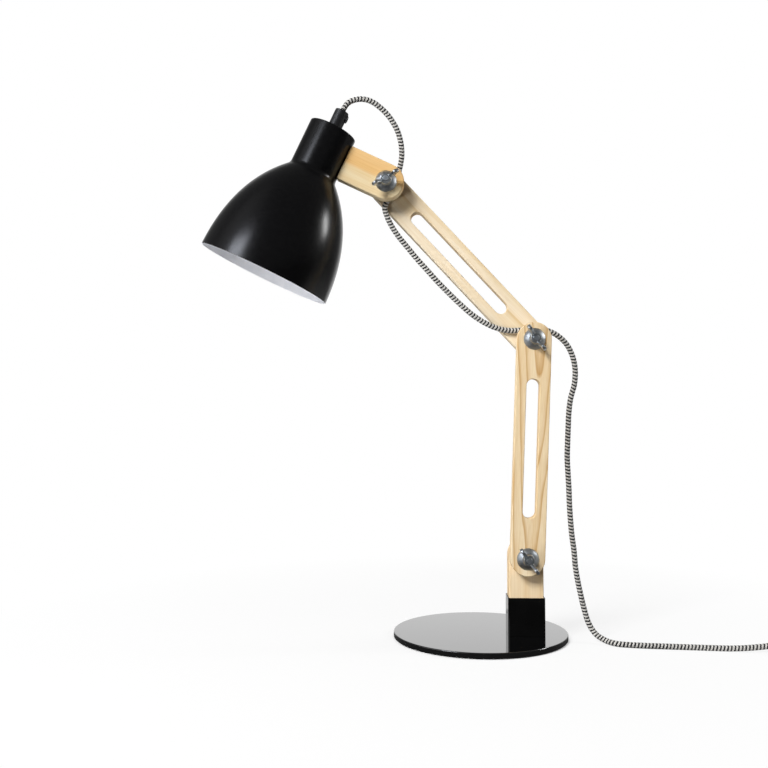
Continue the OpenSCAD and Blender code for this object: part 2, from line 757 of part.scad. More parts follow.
module bulb_globe() {
    r = globe_d / 2;
    neck = bulb_cap_d / 2 + 0.4;
    throat = globe_l - r;
    steps = 12;
    function flank(u) = neck + (r - neck) * (1 - cos(180 * u)) / 2;
    outside = concat(
        [for (i = [0:steps - 1]) [flank(i / steps), -throat * i / steps]],
        [for (i = [0:steps]) [r * cos(90 * i / steps), -throat - r * sin(90 * i / steps)]]
    );
    inner_r = r - globe_wall;
    inside = concat(
        [for (i = [steps:-1:0]) [inner_r * cos(90 * i / steps), -throat - inner_r * sin(90 * i / steps)]],
        [for (i = [steps - 1:-1:1]) [flank(i / steps) - globe_wall, -throat * i / steps]],
        [[neck - globe_wall, -globe_wall], [0, -globe_wall], [0, 0]]
    );
    color(opal) on_shade_top() translate([0, 0, -globe_top]) rotate_extrude() polygon(concat(outside, inside));
}

// Cord stretches
module cord_head() {
    color(braid) tube(route, 0, head_end, cord_r, cord_sides);
}
module cord_head_bend() {
    color(braid) tube(route, head_end, bend_end, cord_r, cord_sides);
}
module cord_arm() {
    color(braid) tube(route, bend_end, arm_end, cord_r, cord_sides);
}
module cord_elbow_bend() {
    color(braid) tube(route, arm_end, elbow_end, cord_r, cord_sides);
}
module cord_drop() {
    color(braid) tube(route, elbow_end, drop_end, cord_r, cord_sides);
}
module cord_floor() {
    color(braid) tube(route, drop_end, len(route) - 1, cord_r, cord_sides);
}
module cord_coil() {
    color(braid) tube(coil_route, 0, len(coil_route) - 1, cord_r, coil_sides);
}
module cord_tail() {
    color(braid) tube(tail_route, 0, len(tail_route) - 1, cord_r, cord_sides);
}

// Tie round the coil's bundle of turns
module coil_tie() {
    play = 0.3;
    inner_w = coil_step * coil_turns / 2 + cord_d + 2 * play + coil_step / 2;
    inner_h = coil_step + cord_d + 2 * play;
    mid_r = coil_r + coil_step * coil_turns / 4 - coil_step / 8;
    tie_turn = 150;
    color(felt) translate([coil_x, coil_y, 0]) rotate([0, 0, tie_turn]) translate([mid_r, tie_w / 2, 0])
        rotate([90, 0, 0]) linear_extrude(tie_w) translate([0, tie_t + inner_h / 2]) difference() {
            round_rect(inner_w + 2 * tie_t, inner_h + 2 * tie_t, 1.6);
            round_rect(inner_w, inner_h, 1);
        }
}

// Inline switch: two shells, a rocker on top and screws from below
switch_mid_x = switch_x + switch_l / 2;
switch_top_z = switch_low_h + switch_up_h;
switch_screw_pitch = switch_l - 22;
switch_screw_d = 3;
switch_screw_y = switch_w / 2 - 5.2;
entry_r = cord_r + cord_play;
rocker_pivot_z = switch_top_z - 2.8;
rocker_play = 0.4;
rocker_pin_r = 1.2;
lug_w = 7;
lug_t = 2.4;
lug_h = 5.5;
well_w = rocker_w + 2 * rocker_play;
module switch_shell(h) {
    difference() {
        linear_extrude(h) round_rect(switch_l, switch_w, switch_r);
        translate([0, 0, switch_wall]) linear_extrude(h)
            round_rect(switch_l - 2 * switch_wall, switch_w - 2 * switch_wall, switch_r - switch_wall);
    }
}
module switch_screw_places() {
    for (s = [-1, 1]) translate([switch_mid_x + s * switch_screw_pitch / 2, switch_y + s * switch_screw_y, 0])
        children();
}
module cord_entries() {
    translate([switch_x - over, switch_y, switch_low_h]) rotate([0, 90, 0])
        cylinder(h = switch_l + 2 * over, r = entry_r);
}
module switch_lower() {
    boss = 2.2;
    color(black_plastic) difference() {
        union() {
            translate([switch_mid_x, switch_y, 0]) switch_shell(switch_low_h);
            switch_screw_places() cylinder(h = switch_low_h, d = switch_screw_d + 2 * boss);
        }
        cord_entries();
        switch_screw_places() translate([0, 0, -over])
            cylinder(h = switch_low_h + 2 * over, d = switch_screw_d + 2 * screw_play);
        switch_screw_places() translate([0, 0, -over])
            cylinder(h = switch_wall + over, d = 2 * switch_screw_d + 2 * screw_play);
    }
}
module switch_upper() {
    boss = 2.2;
    color(black_plastic) difference() {
        union() {
            translate([switch_mid_x, switch_y, switch_top_z]) mirror([0, 0, 1]) switch_shell(switch_up_h);
            switch_screw_places() translate([0, 0, switch_low_h])
                cylinder(h = switch_up_h - switch_wall / 2, d = switch_screw_d + 2 * boss);
            translate([switch_mid_x, switch_y, switch_top_z - lug_h]) linear_extrude(lug_h - switch_wall / 2)
                square([lug_w, well_w + 2 * lug_t], center = true);
        }
        cord_entries();
        switch_screw_places() translate([0, 0, switch_low_h - over])
            cylinder(h = switch_screw_l - switch_low_h + over + 0.2, d = switch_screw_d + 2 * screw_play);
        translate([switch_mid_x, switch_y, switch_low_h])
            linear_extrude(2 * switch_up_h) round_rect(rocker_l + 2.5, well_w, 0.8);
        translate([switch_mid_x, switch_y, rocker_pivot_z]) rotate([90, 0, 0])
            cylinder(h = well_w + 2 * lug_t - 1, r = rocker_pin_r + bolt_play, center = true);
    }
}
switch_screw_l = switch_low_h + switch_up_h - switch_wall - 1.2;
module switch_screws() {
    color(zinc) switch_screw_places() translate([0, 0, switch_wall])
        pan_screw(switch_screw_d, switch_screw_l - switch_wall, 2 * switch_screw_d, switch_wall - 0.4);
}
// Rocker: two flat paddles that meet in a shallow V over the pivot pin
module switch_rocker() {
    rise = 4.4;
    depth = 3;
    dip = rocker_l / 2 * tan(rocker_tilt);
    color(black_plastic) translate([switch_mid_x, switch_y, rocker_pivot_z]) rotate([0, -rocker_tilt, 0]) {
        rotate([90, 0, 0]) translate([0, 0, -rocker_w / 2]) linear_extrude(rocker_w) polygon([
            [-rocker_l / 2, -1], [-rocker_l / 2, rise], [0, rise - dip], [rocker_l / 2, rise],
            [rocker_l / 2, -1], [3, -depth], [-3, -depth]
        ]);
        rotate([90, 0, 0]) cylinder(h = well_w + 2 * lug_t - 2, r = rocker_pin_r, center = true);
    }
}

// Two-pin plug with a tapered strain relief
module plug_body() {
    shoulder = 13;
    rear_w = 15;
    color(black_plastic) difference() {
        translate([plug_x, plug_y, plug_z - plug_t / 2]) linear_extrude(plug_t) polygon([
            [-rear_w / 2, 0], [rear_w / 2, 0], [plug_w / 2, shoulder], [plug_w / 2, plug_l - 3],
            [plug_w / 2 - 3, plug_l], [-plug_w / 2 + 3, plug_l], [-plug_w / 2, plug_l - 3],
            [-plug_w / 2, shoulder]
        ]);
        for (x = [-1, 1]) translate([plug_x + x * pin_pitch / 2, plug_y + plug_l - pin_root, plug_z])
            rotate([-90, 0, 0]) cylinder(h = pin_root + over, d = pin_root_d + 2 * screw_play);
    }
}
pin_root = 12;
pin_root_d = pin_d - 0.8;
module plug_pins() {
    tip = 1;
    color(zinc) for (x = [-1, 1])
        translate([plug_x + x * pin_pitch / 2, plug_y + plug_l - pin_root, plug_z]) rotate([-90, 0, 0]) {
            cylinder(h = pin_root, d = pin_root_d);
            translate([0, 0, pin_root]) cylinder(h = pin_l - tip, d = pin_d);
            translate([0, 0, pin_root + pin_l - tip]) cylinder(h = tip, d1 = pin_d, d2 = pin_d - tip);
        }
}
module plug_sleeve() {
    thick = 11;
    thin = 7.6;
    groove = 0.7;
    rib = sleeve_l / 6;
    color(black_plastic) translate([plug_x, sleeve_y, plug_z]) rotate([-90, 0, 0]) difference() {
        cylinder(h = sleeve_l, d1 = thin, d2 = thick);
        for (i = [1:4]) translate([0, 0, i * rib]) difference() {
            cylinder(h = rib / 3, d = thick + over);
            translate([0, 0, -over])
                cylinder(h = rib + 2 * over, d = thin - 2 * groove + (thick - thin) * i / 6);
        }
        translate([0, 0, -over]) cylinder(h = 2 * cord_d + 0.4 + over, r = cord_r + cord_play);
    }
}

base_plate();
base_pad();
post_socket();
base_screws();
base_post();
base_bolt();
pivot_shim();
base_wing_nut();
base_washer();
lower_arm();
elbow_washer();
elbow_wing_nut();
elbow_bolt();
elbow_spacer();
upper_arm();
head_bolt();
head_spacer();
head_wing_nut();
head_washer();
head_bracket();
bracket_screws();
shade();
cord_grip();
grip_screw();
lock_nut();
holder_cap();
holder_shell();
holder_contact();
bulb_cap();
bulb_globe();
cord_head();
cord_head_bend();
cord_arm();
cord_elbow_bend();
cord_drop();
cord_floor();
switch_lower();
switch_upper();
switch_rocker();
switch_screws();
cord_coil();
coil_tie();
cord_tail();
plug_body();
plug_sleeve();
plug_pins();
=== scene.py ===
"""Looks of the work lamp: pine arms on wing-nut pivots, black bell shade, black-and-white textile cord.

Metres, in the frame of the part: origin at the middle of the base on the table, +Z up and the wing nuts
towards -Y.
"""
import math

import bmesh
import bpy
from mathutils import Matrix, Vector


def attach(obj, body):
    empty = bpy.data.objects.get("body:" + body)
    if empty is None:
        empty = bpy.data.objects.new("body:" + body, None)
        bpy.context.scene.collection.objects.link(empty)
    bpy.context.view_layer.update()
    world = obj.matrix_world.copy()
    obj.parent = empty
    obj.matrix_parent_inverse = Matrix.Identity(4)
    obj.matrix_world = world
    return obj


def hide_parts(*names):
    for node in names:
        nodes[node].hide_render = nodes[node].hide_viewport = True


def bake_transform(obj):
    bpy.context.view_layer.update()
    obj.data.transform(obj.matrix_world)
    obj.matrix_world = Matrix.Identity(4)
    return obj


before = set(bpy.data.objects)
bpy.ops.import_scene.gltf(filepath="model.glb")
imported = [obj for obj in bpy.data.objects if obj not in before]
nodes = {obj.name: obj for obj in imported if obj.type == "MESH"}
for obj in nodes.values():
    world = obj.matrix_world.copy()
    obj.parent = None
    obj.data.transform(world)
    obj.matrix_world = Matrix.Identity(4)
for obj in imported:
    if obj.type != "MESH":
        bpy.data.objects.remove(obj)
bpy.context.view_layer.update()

MM = 0.001

# Sizes of the slats, the base and the cord
SLAT_W = 30.8 * MM
SLAT_T = 11.5 * MM
ARM_PITCH = 197 * MM
SLOT_W = 12 * MM
SLOT_L = 125 * MM
SLAT_EDGE = 1.2 * MM
BORE_R = 3.06 * MM
BRACKET_W = 33 * MM
BRACKET_L = 42.65 * MM
POST_D = 21.3 * MM
POST_FOOT = 7.5 * MM
BASE_TOP = 5.5 * MM
SOCKET = (33.5 * MM, 24 * MM, 34.5 * MM)
SOCKET_WALL = 1.2 * MM
CORD_R = 2.5 * MM
CORD_HOLE_R = 2.7 * MM

# Screws: how far a pair stands from the middle, the radius of its bores, and the grip's clamp screw
BASE_SCREW_OUT = 7.5 * MM
BASE_SCREW_R = 2.55 * MM
BRACKET_SCREW_OUT = 9 * MM
BRACKET_SCREW_R = 2.06 * MM
GRIP_SCREW_R = 2 * MM
GRIP_SCREW_Z = 14 * MM

# Meshes: points closer than this are one, and edges flatter than these angles look smooth
WELD = 0.002 * MM
SMOOTH = math.radians(35)
CORD_SMOOTH = math.radians(60)

# Layers along Y, with the front towards -Y, and the three pivots
POST_X = 40.4 * MM
PIVOT_Z = 76.5 * MM
POST_BACK = 0.15 * MM
POST_MID = POST_BACK - POST_D / 2
LOWER_BACK = -21.65 * MM
LOWER_FRONT = LOWER_BACK - SLAT_T
UPPER_BACK = LOWER_BACK + 6 * MM + SLAT_T
HEAD_MID = LOWER_BACK - SLAT_T / 2
WASHER_H = 4.2 * MM
NUT_SEAT = LOWER_FRONT - WASHER_H
LOWER_LEAN = math.radians(2.1)
UPPER_LEAN = math.radians(-42.8)
HEAD_TILT = math.radians(25.5)
BASE_PIVOT = Vector((POST_X, 0, PIVOT_Z))
ELBOW_PIVOT = BASE_PIVOT + ARM_PITCH * Vector((math.sin(LOWER_LEAN), 0, math.cos(LOWER_LEAN)))
HEAD_PIVOT = ELBOW_PIVOT + ARM_PITCH * Vector((math.sin(UPPER_LEAN), 0, math.cos(UPPER_LEAN)))

# Frames of the arms and the head; the shade's origin is the middle of its flat top
SHADE_REACH = 65.2 * MM
SHADE_RISE = 23.4 * MM
LOWER = Matrix.Translation(BASE_PIVOT) @ Matrix.Rotation(LOWER_LEAN, 4, "Y")
UPPER = Matrix.Translation(ELBOW_PIVOT) @ Matrix.Rotation(UPPER_LEAN, 4, "Y")
HEAD = Matrix.Translation(HEAD_PIVOT + Vector((0, HEAD_MID, 0))) @ Matrix.Rotation(HEAD_TILT, 4, "Y")
SHADE = HEAD @ Matrix.Translation((-SHADE_REACH, 0, SHADE_RISE))
TO_FRONT = Matrix.Rotation(math.radians(90), 4, "X")


# Small tools for nodes

def colour(code):
    """An sRGB hex colour as linear red, green, blue and alpha."""
    parts = [int(code[i:i + 2], 16) / 255 for i in (1, 3, 5)]
    return tuple(c / 12.92 if c <= 0.04045 else ((c + 0.055) / 1.055) ** 2.4 for c in parts) + (1.0,)


def add(tree, kind, inputs=None, stops=(), **settings):
    """Adds a node with its settings; an input is a number, a colour or another node's output."""
    made = tree.nodes.new("ShaderNode" + kind)
    for key, value in settings.items():
        setattr(made, key, value)
    for key, value in (inputs or {}).items():
        if isinstance(value, bpy.types.NodeSocket):
            tree.links.new(value, made.inputs[key])
        else:
            made.inputs[key].default_value = value
    for i, (place_on, code) in enumerate(stops):
        band = made.color_ramp.elements
        stop = band[i] if i < 2 else band.new(place_on)
        stop.position = place_on
        stop.color = colour(code)
    return made


def new_material(name):
    """A new material with its node tree, its shader and Object coordinates."""
    material = bpy.data.materials.new(name)
    material.use_nodes = True
    tree = material.node_tree
    return material, tree, tree.nodes["Principled BSDF"], add(tree, "TexCoord").outputs["Object"]


# Small tools for meshes

def clear():
    """Object mode with nothing selected, so that an operator acts only on what comes next."""
    if bpy.context.mode != "OBJECT":
        bpy.ops.object.mode_set(mode="OBJECT")
    bpy.ops.object.select_all(action="DESELECT")


def only(piece):
    """Selects one piece and makes it active."""
    clear()
    piece.select_set(True)
    bpy.context.view_layer.objects.active = piece
    return piece


def named(name):
    """Names the piece that was just added."""
    bpy.context.object.name = name
    return bpy.context.object


def edit(mode):
    """Edit mode with vertex, edge or face selection."""
    bpy.ops.object.mode_set(mode="EDIT")
    bpy.ops.mesh.select_mode(type=mode)


def middle(item):
    """The middle of an edge or face."""
    return sum((v.co for v in item.verts), Vector()) / len(item.verts)


def pick(kind, test):
    """Selects the verts, edges or faces of the mesh in edit mode that pass a test."""
    mesh = bpy.context.edit_object.data
    form = bmesh.from_edit_mesh(mesh)
    for group in (form.faces, form.edges, form.verts):
        for item in group:
            item.select = False
    for item in getattr(form, kind):
        if test(item):
            item.select_set(True)
    form.select_flush_mode()
    bmesh.update_edit_mesh(mesh)


def extrude(step):
    """Draws out what is selected."""
    bpy.ops.mesh.extrude_region_move(TRANSFORM_OT_translate={"value": step})


def apply(piece, kind, **settings):
    """Adds a modifier and applies it."""
    only(piece)
    modifier = piece.modifiers.new(kind.title(), kind)
    for key, value in settings.items():
        setattr(modifier, key, value)
    bpy.ops.object.modifier_apply(modifier=modifier.name)
    return piece


def cut(piece, *cutters):
    """Cuts a piece by others and throws those away."""
    for cutter in cutters:
        apply(piece, "BOOLEAN", object=cutter, operation="DIFFERENCE", solver="EXACT")
        bpy.data.objects.remove(cutter)
    return piece


def rounded(piece, width, segments=3, angle=40):
    """Rounds the edges that are sharper than an angle."""
    limit = math.radians(angle)
    return apply(piece, "BEVEL", width=width, segments=segments, limit_method="ANGLE", angle_limit=limit)


def place(piece, matrix):
    """Moves a piece and puts the move into its mesh."""
    only(piece)
    piece.matrix_world = matrix
    bpy.ops.object.transform_apply(location=True, rotation=True, scale=True)
    return piece


def done(piece, body, slot, material, *stands_for):
    """Smooths and dresses a finished piece and hands it to its body."""
    only(piece)
    bpy.ops.object.shade_smooth_by_angle(angle=SMOOTH)
    apply(piece, "WEIGHTED_NORMAL", keep_sharp=True)
    if material is not None:
        piece.data.materials.clear()
        piece.data.materials.append(material)
    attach(piece, body)
    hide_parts(*stands_for)
    return piece


def copied(piece, name):
    """A second piece with a mesh of its own."""
    twin = piece.copy()
    twin.data = piece.data.copy()
    twin.name = name
    bpy.context.collection.objects.link(twin)
    return twin


def joined(*pieces):
    """Several pieces as one, under the first one's name."""
    only(pieces[0])
    for piece in pieces[1:]:
        piece.select_set(True)
    bpy.ops.object.join()
    return pieces[0]


def mm(*points):
    """Points in millimetres as metres."""
    return [tuple(value * MM for value in point) for point in points]


def arc(centre, radius, start, end, steps=6):
    """Points of an arc in millimetres, turned in degrees from the first axis, as metres."""
    turns = [math.radians(start + (end - start) * i / steps) for i in range(steps + 1)]
    return mm(*((centre[0] + radius * math.cos(a), centre[1] + radius * math.sin(a)) for a in turns))


def drawn(name, outline):
    """Draws a vertex out along points in the X-Z plane and stays in edit mode with all of it selected."""
    clear()
    bpy.ops.mesh.primitive_plane_add(size=MM)
    piece = named(name)
    edit("VERT")
    bpy.ops.mesh.merge(type="CENTER")
    bpy.ops.transform.translate(value=(outline[0][0], 0, outline[0][1]))
    for here, there in zip(outline, outline[1:]):
        extrude((there[0] - here[0], 0, there[1] - here[1]))
    bpy.ops.mesh.select_all(action="SELECT")
    bpy.ops.mesh.remove_doubles(threshold=WELD)
    return piece


def turned(name, profile, steps=96):
    """A piece turned on the Z axis from a profile of radius and height."""
    piece = drawn(name, profile)
    bpy.ops.mesh.spin(steps=steps, angle=2 * math.pi, center=(0, 0, 0), axis=(0, 0, 1))
    bpy.ops.mesh.select_all(action="SELECT")
    bpy.ops.mesh.remove_doubles(threshold=WELD)
    bpy.ops.mesh.normals_make_consistent(inside=False)
    bpy.ops.object.mode_set(mode="OBJECT")
    return piece


def plate(name, outline, thickness):
    """A flat piece cut to an outline in the X-Z plane, its back at y = 0 and its front at -thickness."""
    piece = drawn(name, outline + outline[:1])
    bpy.ops.mesh.edge_face_add()
    extrude((0, -thickness, 0))
    bpy.ops.mesh.select_all(action="SELECT")
    bpy.ops.mesh.normals_make_consistent(inside=False)
    bpy.ops.object.mode_set(mode="OBJECT")
    return piece


def bar(radius, length, at, axis="Y", tip=None):
    """A round bar along X, Y or Z with its middle at a point, or a cone with a tip radius."""
    clear()
    turn = {"X": (0, math.pi / 2, 0), "Y": (math.pi / 2, 0, 0), "Z": (0, 0, 0)}[axis]
    end = radius if tip is None else tip
    bpy.ops.mesh.primitive_cone_add(
        vertices=32, radius1=radius, radius2=end, depth=length, location=at, rotation=turn
    )
    return named("bar")


def block(name, size, at=(0, 0, 0)):
    """A box of a given size with its middle at a point."""
    clear()
    bpy.ops.mesh.primitive_cube_add(size=1, location=at)
    piece = named(name)
    piece.scale = size
    bpy.ops.object.transform_apply(location=True, rotation=True, scale=True)
    return piece


# Camera at the photograph's viewing angle

def photo_camera():
    """The camera that was fitted to the photograph's outlines."""
    clear()
    pitch, yaw = math.radians(2.19), math.radians(2.12)
    bpy.ops.object.camera_add(location=(-0.0581, -0.841, 0.2021), rotation=(math.pi / 2 + pitch, 0, yaw))
    camera = bpy.context.object
    camera.data.lens = 42.0
    camera.data.sensor_width = 36.0
    bpy.context.scene.camera = camera


photo_camera()

# The cord's route in millimetres, from the grip on the shade to the switch; GAP_Y is the gap between the
# arms and LAY_Z the height of the middle of the cord where it lies on the table
GAP_Y = -18.65
LAY_Z = 2.55
SWITCH_MID, SWITCH_Y, SWITCH_Z = 283, -49, 6.5
GRIP_TOP = 19.5
CORD_START = 11.5
grip_top = SHADE @ Vector((0, 0, GRIP_TOP * MM)) / MM
grip_inside = SHADE @ Vector((0, 0, CORD_START * MM)) / MM
HEAD_LOOP = [
    grip_inside, grip_top, (-122.2, -27.5, 491.6), (-116.4, -27.5, 494.9), (-108.5, -27.3, 496),
    (-100, -26.5, 494), (-92.4, -25.4, 489.1), (-85.4, -24.3, 482.5), (-79.4, -23.2, 474.2),
    (-75.2, -22, 465.6), (-72.7, -20.6, 456), (-72, -19.4, 446.5), (-73, -18.8, 438),
]
HEAD_BEND = [(-75, GAP_Y, 429), (-76.4, GAP_Y, 420.2), (-79.8, GAP_Y, 411), (-85, GAP_Y, 404)]
ARM_RUN = [
    (-87.8, GAP_Y, 397), (-86, GAP_Y, 389.5), (-81.6, GAP_Y, 380), (-75.2, GAP_Y, 370.2),
    (-67, GAP_Y, 360), (-58.4, GAP_Y, 349.4), (-49.2, GAP_Y, 339), (-39.6, GAP_Y, 328.2),
    (-29.6, GAP_Y, 317.8), (-19.4, GAP_Y, 307.8), (-9, GAP_Y, 298.4), (1.6, GAP_Y, 291),
    (12.4, GAP_Y, 285.6),
]
ELBOW_BEND = [(23.6, GAP_Y, 282.7), (35, GAP_Y, 282.4), (47, GAP_Y, 283.4), (58.6, GAP_Y, 282.9)]
DROP = [
    (69.2, -18.4, 278.4), (78.2, -17.6, 270.2), (84, -16.6, 259), (86.5, -15.6, 246.5),
    (85.9, -14.6, 233.5), (82.6, -13.6, 220.5), (80.9, -12.8, 207), (80.3, -12.2, 193), (79.7, -12, 179),
    (79.3, -12, 165), (79.9, -12, 151), (80.6, -12, 137), (81, -12, 123), (81.8, -12, 109), (83, -12, 95),
    (84.8, -12, 81), (85.9, -12, 67), (87.9, -12, 54), (90.6, -12.2, 41), (93.4, -12.8, 28.6),
    (96.8, -14.4, 17), (102.2, -17.6, 8),
]
FLOOR_RUN = [
    (109.8, -24.4, 3.6), (118.2, -32.2, LAY_Z), (129, -36, LAY_Z), (142, -38.2, LAY_Z),
    (156, -39.8, LAY_Z), (170, -41.2, LAY_Z), (184, -42.6, LAY_Z), (198, -44, LAY_Z), (212, -45.6, 2.7),
    (226, -47.2, 3.6), (238, -48.4, 5), (248, -49, 6.2), (264, SWITCH_Y, SWITCH_Z),
]

# The coil past the switch, wound in and out in two layers, and the tail to the plug
COIL_TURNS = 5.25
COIL_STEP = 5.6
COIL_R = 20.6
COIL_X = 352
COIL_Y = SWITCH_Y + COIL_R + COIL_STEP * COIL_TURNS / 2
COIL_Z = 3.4
COIL_RINGS = 24


def coil_point(i):
    """Point i of the coil: the spiral comes in on the lower layer and goes out on the upper one."""
    turn = i / COIL_RINGS
    back = turn - COIL_TURNS / 2
    reach = COIL_R + COIL_STEP * abs(back)
    angle = math.radians(360 * turn - 90)
    climb = 0.5 - 0.5 * math.cos(math.pi * min(1, max(0, 2 * back + 0.5)))
    return (COIL_X + reach * math.cos(angle), COIL_Y + reach * math.sin(angle), COIL_Z + COIL_STEP * climb)


coil = [coil_point(i) for i in range(round(COIL_TURNS * COIL_RINGS) + 1)]
PLUG_X, TAIL_Y, TAIL_Z = coil[-1]
PLUG_Z = 6.9
COIL_LEAD = [(302, SWITCH_Y, SWITCH_Z), (317, SWITCH_Y, SWITCH_Z), (332, SWITCH_Y, COIL_Z + 0.6)]
TAIL = [
    (PLUG_X, TAIL_Y + 5, TAIL_Z), (PLUG_X, TAIL_Y + 8, TAIL_Z), (PLUG_X, TAIL_Y + 15, PLUG_Z + 0.5),
    (PLUG_X, TAIL_Y + 20, PLUG_Z), (PLUG_X, TAIL_Y + 30, PLUG_Z),
]


# Textile cord

CORD_STEP = 1.2 * MM


def cord_line(points):
    """A smooth line through a route's points in even steps, and where each point falls on it."""
    points = [Vector(p) * MM for p in points]
    run = [2 * points[0] - points[1]] + points + [2 * points[-1] - points[-2]]
    line, marks = [], []
    for before, here, there, after in zip(run, run[1:], run[2:], run[3:]):
        marks.append(len(line))
        steps = max(2, round((there - here).length / CORD_STEP))
        # Terms of the curve in the square and the cube of t
        square = 2 * before - 5 * here + 4 * there - after
        cube = 3 * here - before - 3 * there + after
        for t in (i / steps for i in range(steps)):
            bend = square * t + cube * t * t
            line.append(here + 0.5 * t * (there - before + bend))
    return line + [points[-1]], marks + [len(line)]


def carried(line):
    """Each point with two directions square to the line, carried without twist, and the length so far."""
    side, reach, rings = Vector((0.12, 1, 0.08)), 0.0, []
    for i, point in enumerate(line):
        ahead = (line[min(i + 1, len(line) - 1)] - line[max(i - 1, 0)]).normalized()
        side = (side - side.dot(ahead) * ahead).normalized()
        reach += (point - line[max(i - 1, 0)]).length
        rings.append((point, side, ahead.cross(side), reach))
    return rings


def cord_tube(name, rings, sides=20):
    """A tube round a stretch of cord; its UV map holds the length in metres and the share of a turn."""
    turns = [2 * math.pi * k / sides for k in range(sides)]
    verts = [p + CORD_R * (math.cos(a) * u + math.sin(a) * v) for p, u, v, _ in rings for a in turns]
    last = len(rings) - 1
    walls = [(i, k) for i in range(last) for k in range(sides)]
    faces = [
        (i * sides + k, i * sides + (k + 1) % sides, (i + 1) * sides + (k + 1) % sides, (i + 1) * sides + k)
        for i, k in walls
    ]
    ends = [tuple(range(sides))[::-1], tuple(last * sides + k for k in range(sides))]
    mesh = bpy.data.meshes.new(name)
    mesh.from_pydata(verts, [], faces + ends)
    layer = mesh.uv_layers.new(name="braid").data
    for face, (i, k) in zip(mesh.polygons, walls):
        corners = ((i, k), (i, k + 1), (i + 1, k + 1), (i + 1, k))
        for loop, (along, around) in zip(face.loop_indices, corners):
            layer[loop].uv = (rings[along][3], around / sides)
    piece = bpy.data.objects.new(name, mesh)
    bpy.context.collection.objects.link(piece)
    only(piece)
    bpy.ops.object.shade_smooth_by_angle(angle=CORD_SMOOTH)
    return piece


def cotton_braid():
    """Woven cotton sleeve, black and white yarns in zigzag bars: matt, soft, each bar a bundle of yarns."""
    material, tree, shader, _ = new_material("cotton_braid")
    bar_pitch, zigzags, slant = 3 * MM, 2, 0.4
    spot = add(tree, "SeparateXYZ", {0: add(tree, "UVMap", uv_map="braid").outputs[0]})
    rows = add(tree, "Math", {0: spot.outputs["X"], 1: bar_pitch}, operation="DIVIDE")
    zig = add(tree, "Math", {0: spot.outputs["Y"], 1: zigzags}, operation="MULTIPLY")
    fold = add(tree, "Math", {0: zig.outputs[0], 1: 0.5}, operation="PINGPONG")
    lean = add(
        tree, "Math", {0: fold.outputs[0], 1: 2 * slant, 2: rows.outputs[0]}, operation="MULTIPLY_ADD"
    )
    share = add(tree, "Math", {0: lean.outputs[0]}, operation="FRACT")
    tone = add(
        tree, "ValToRGB", {0: share.outputs[0]},
        [(0.0, "#c9c7c2"), (0.06, "#2a2a2c"), (0.5, "#262628"), (0.58, "#d0cec9"), (0.98, "#c9c7c2")],
    )
    # A dark and a light bar are four yarns wide together; each yarn stands 0.15 mm proud
    yarn = add(tree, "Math", {0: lean.outputs[0], 1: 8 * math.pi}, operation="MULTIPLY")
    swell = add(tree, "Math", {0: yarn.outputs[0]}, operation="SINE")
    relief = add(tree, "Bump", {"Height": swell.outputs[0], "Strength": 0.6, "Distance": 0.15 * MM})
    gloss = add(
        tree, "MapRange", {"Value": swell.outputs[0], "From Min": -1.0, "To Min": 0.95, "To Max": 0.8}
    )
    tree.links.new(tone.outputs[0], shader.inputs["Base Color"])
    tree.links.new(gloss.outputs[0], shader.inputs["Roughness"])
    tree.links.new(relief.outputs[0], shader.inputs["Normal"])
    shader.inputs["Sheen Weight"].default_value = 0.15
    return material


def lay_cord(name, rings, *stands_for):
    """A stretch of cord in its braid, not yet on a body."""
    piece = cord_tube(name, rings)
    piece.data.materials.append(braid)
    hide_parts(*stands_for)
    return piece


braid = cotton_braid()
line, marks = cord_line(HEAD_LOOP + HEAD_BEND + ARM_RUN + ELBOW_BEND + DROP + FLOOR_RUN)
rings = carried(line)
head_end = marks[len(HEAD_LOOP + HEAD_BEND) - 1]
elbow_end = marks[len(HEAD_LOOP + HEAD_BEND + ARM_RUN + ELBOW_BEND) - 1]
head_rings = rings[:head_end + 1]
arm_rings = rings[head_end:elbow_end + 1]
drop_rings = rings[elbow_end:]
coil_rings = carried(cord_line(COIL_LEAD + coil + TAIL)[0])

head_cord = lay_cord("cord_over_head", head_rings, "cord_head", "cord_head_bend")
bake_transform(head_cord)
arm_cord = lay_cord("cord_under_arm", arm_rings, "cord_arm", "cord_elbow_bend")
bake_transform(arm_cord)
drop_cord = lay_cord("cord_to_switch", drop_rings, "cord_drop", "cord_floor")
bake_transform(drop_cord)
coil_cord = lay_cord("cord_coiled", coil_rings, "cord_coil", "cord_tail")
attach(coil_cord, "base")


# Materials

def finish(name, dark, light, patch, rough, relief, sockets=None):
    """A finish whose tone, gloss and surface wander between two values over patches of a real size.

    rough is its least and most roughness, relief the height of its unevenness, and sockets are inputs of
    the shader that are set as they are.
    """
    material, tree, shader, here = new_material(name)
    noise = add(tree, "TexNoise", {"Vector": here, "Scale": 1 / patch, "Detail": 3.0})
    tone = add(tree, "ValToRGB", {0: noise.outputs["Fac"]}, [(0.35, dark), (0.65, light)])
    gloss = add(
        tree, "MapRange",
        {
            "Value": noise.outputs["Fac"], "From Min": 0.3, "From Max": 0.7,
            "To Min": rough[0], "To Max": rough[1],
        },
    )
    bump = add(tree, "Bump", {"Height": noise.outputs["Fac"], "Strength": 0.5, "Distance": relief})
    tree.links.new(tone.outputs[0], shader.inputs["Base Color"])
    tree.links.new(gloss.outputs[0], shader.inputs["Roughness"])
    tree.links.new(bump.outputs[0], shader.inputs["Normal"])
    for socket, value in (sockets or {}).items():
        shader.inputs[socket].default_value = value
    return material


def multiplied(tree, first, second):
    """One colour times another."""
    inputs = {0: 1.0, 6: first, 7: second}
    return add(tree, "Mix", inputs, data_type="RGBA", blend_type="MULTIPLY").outputs[2]


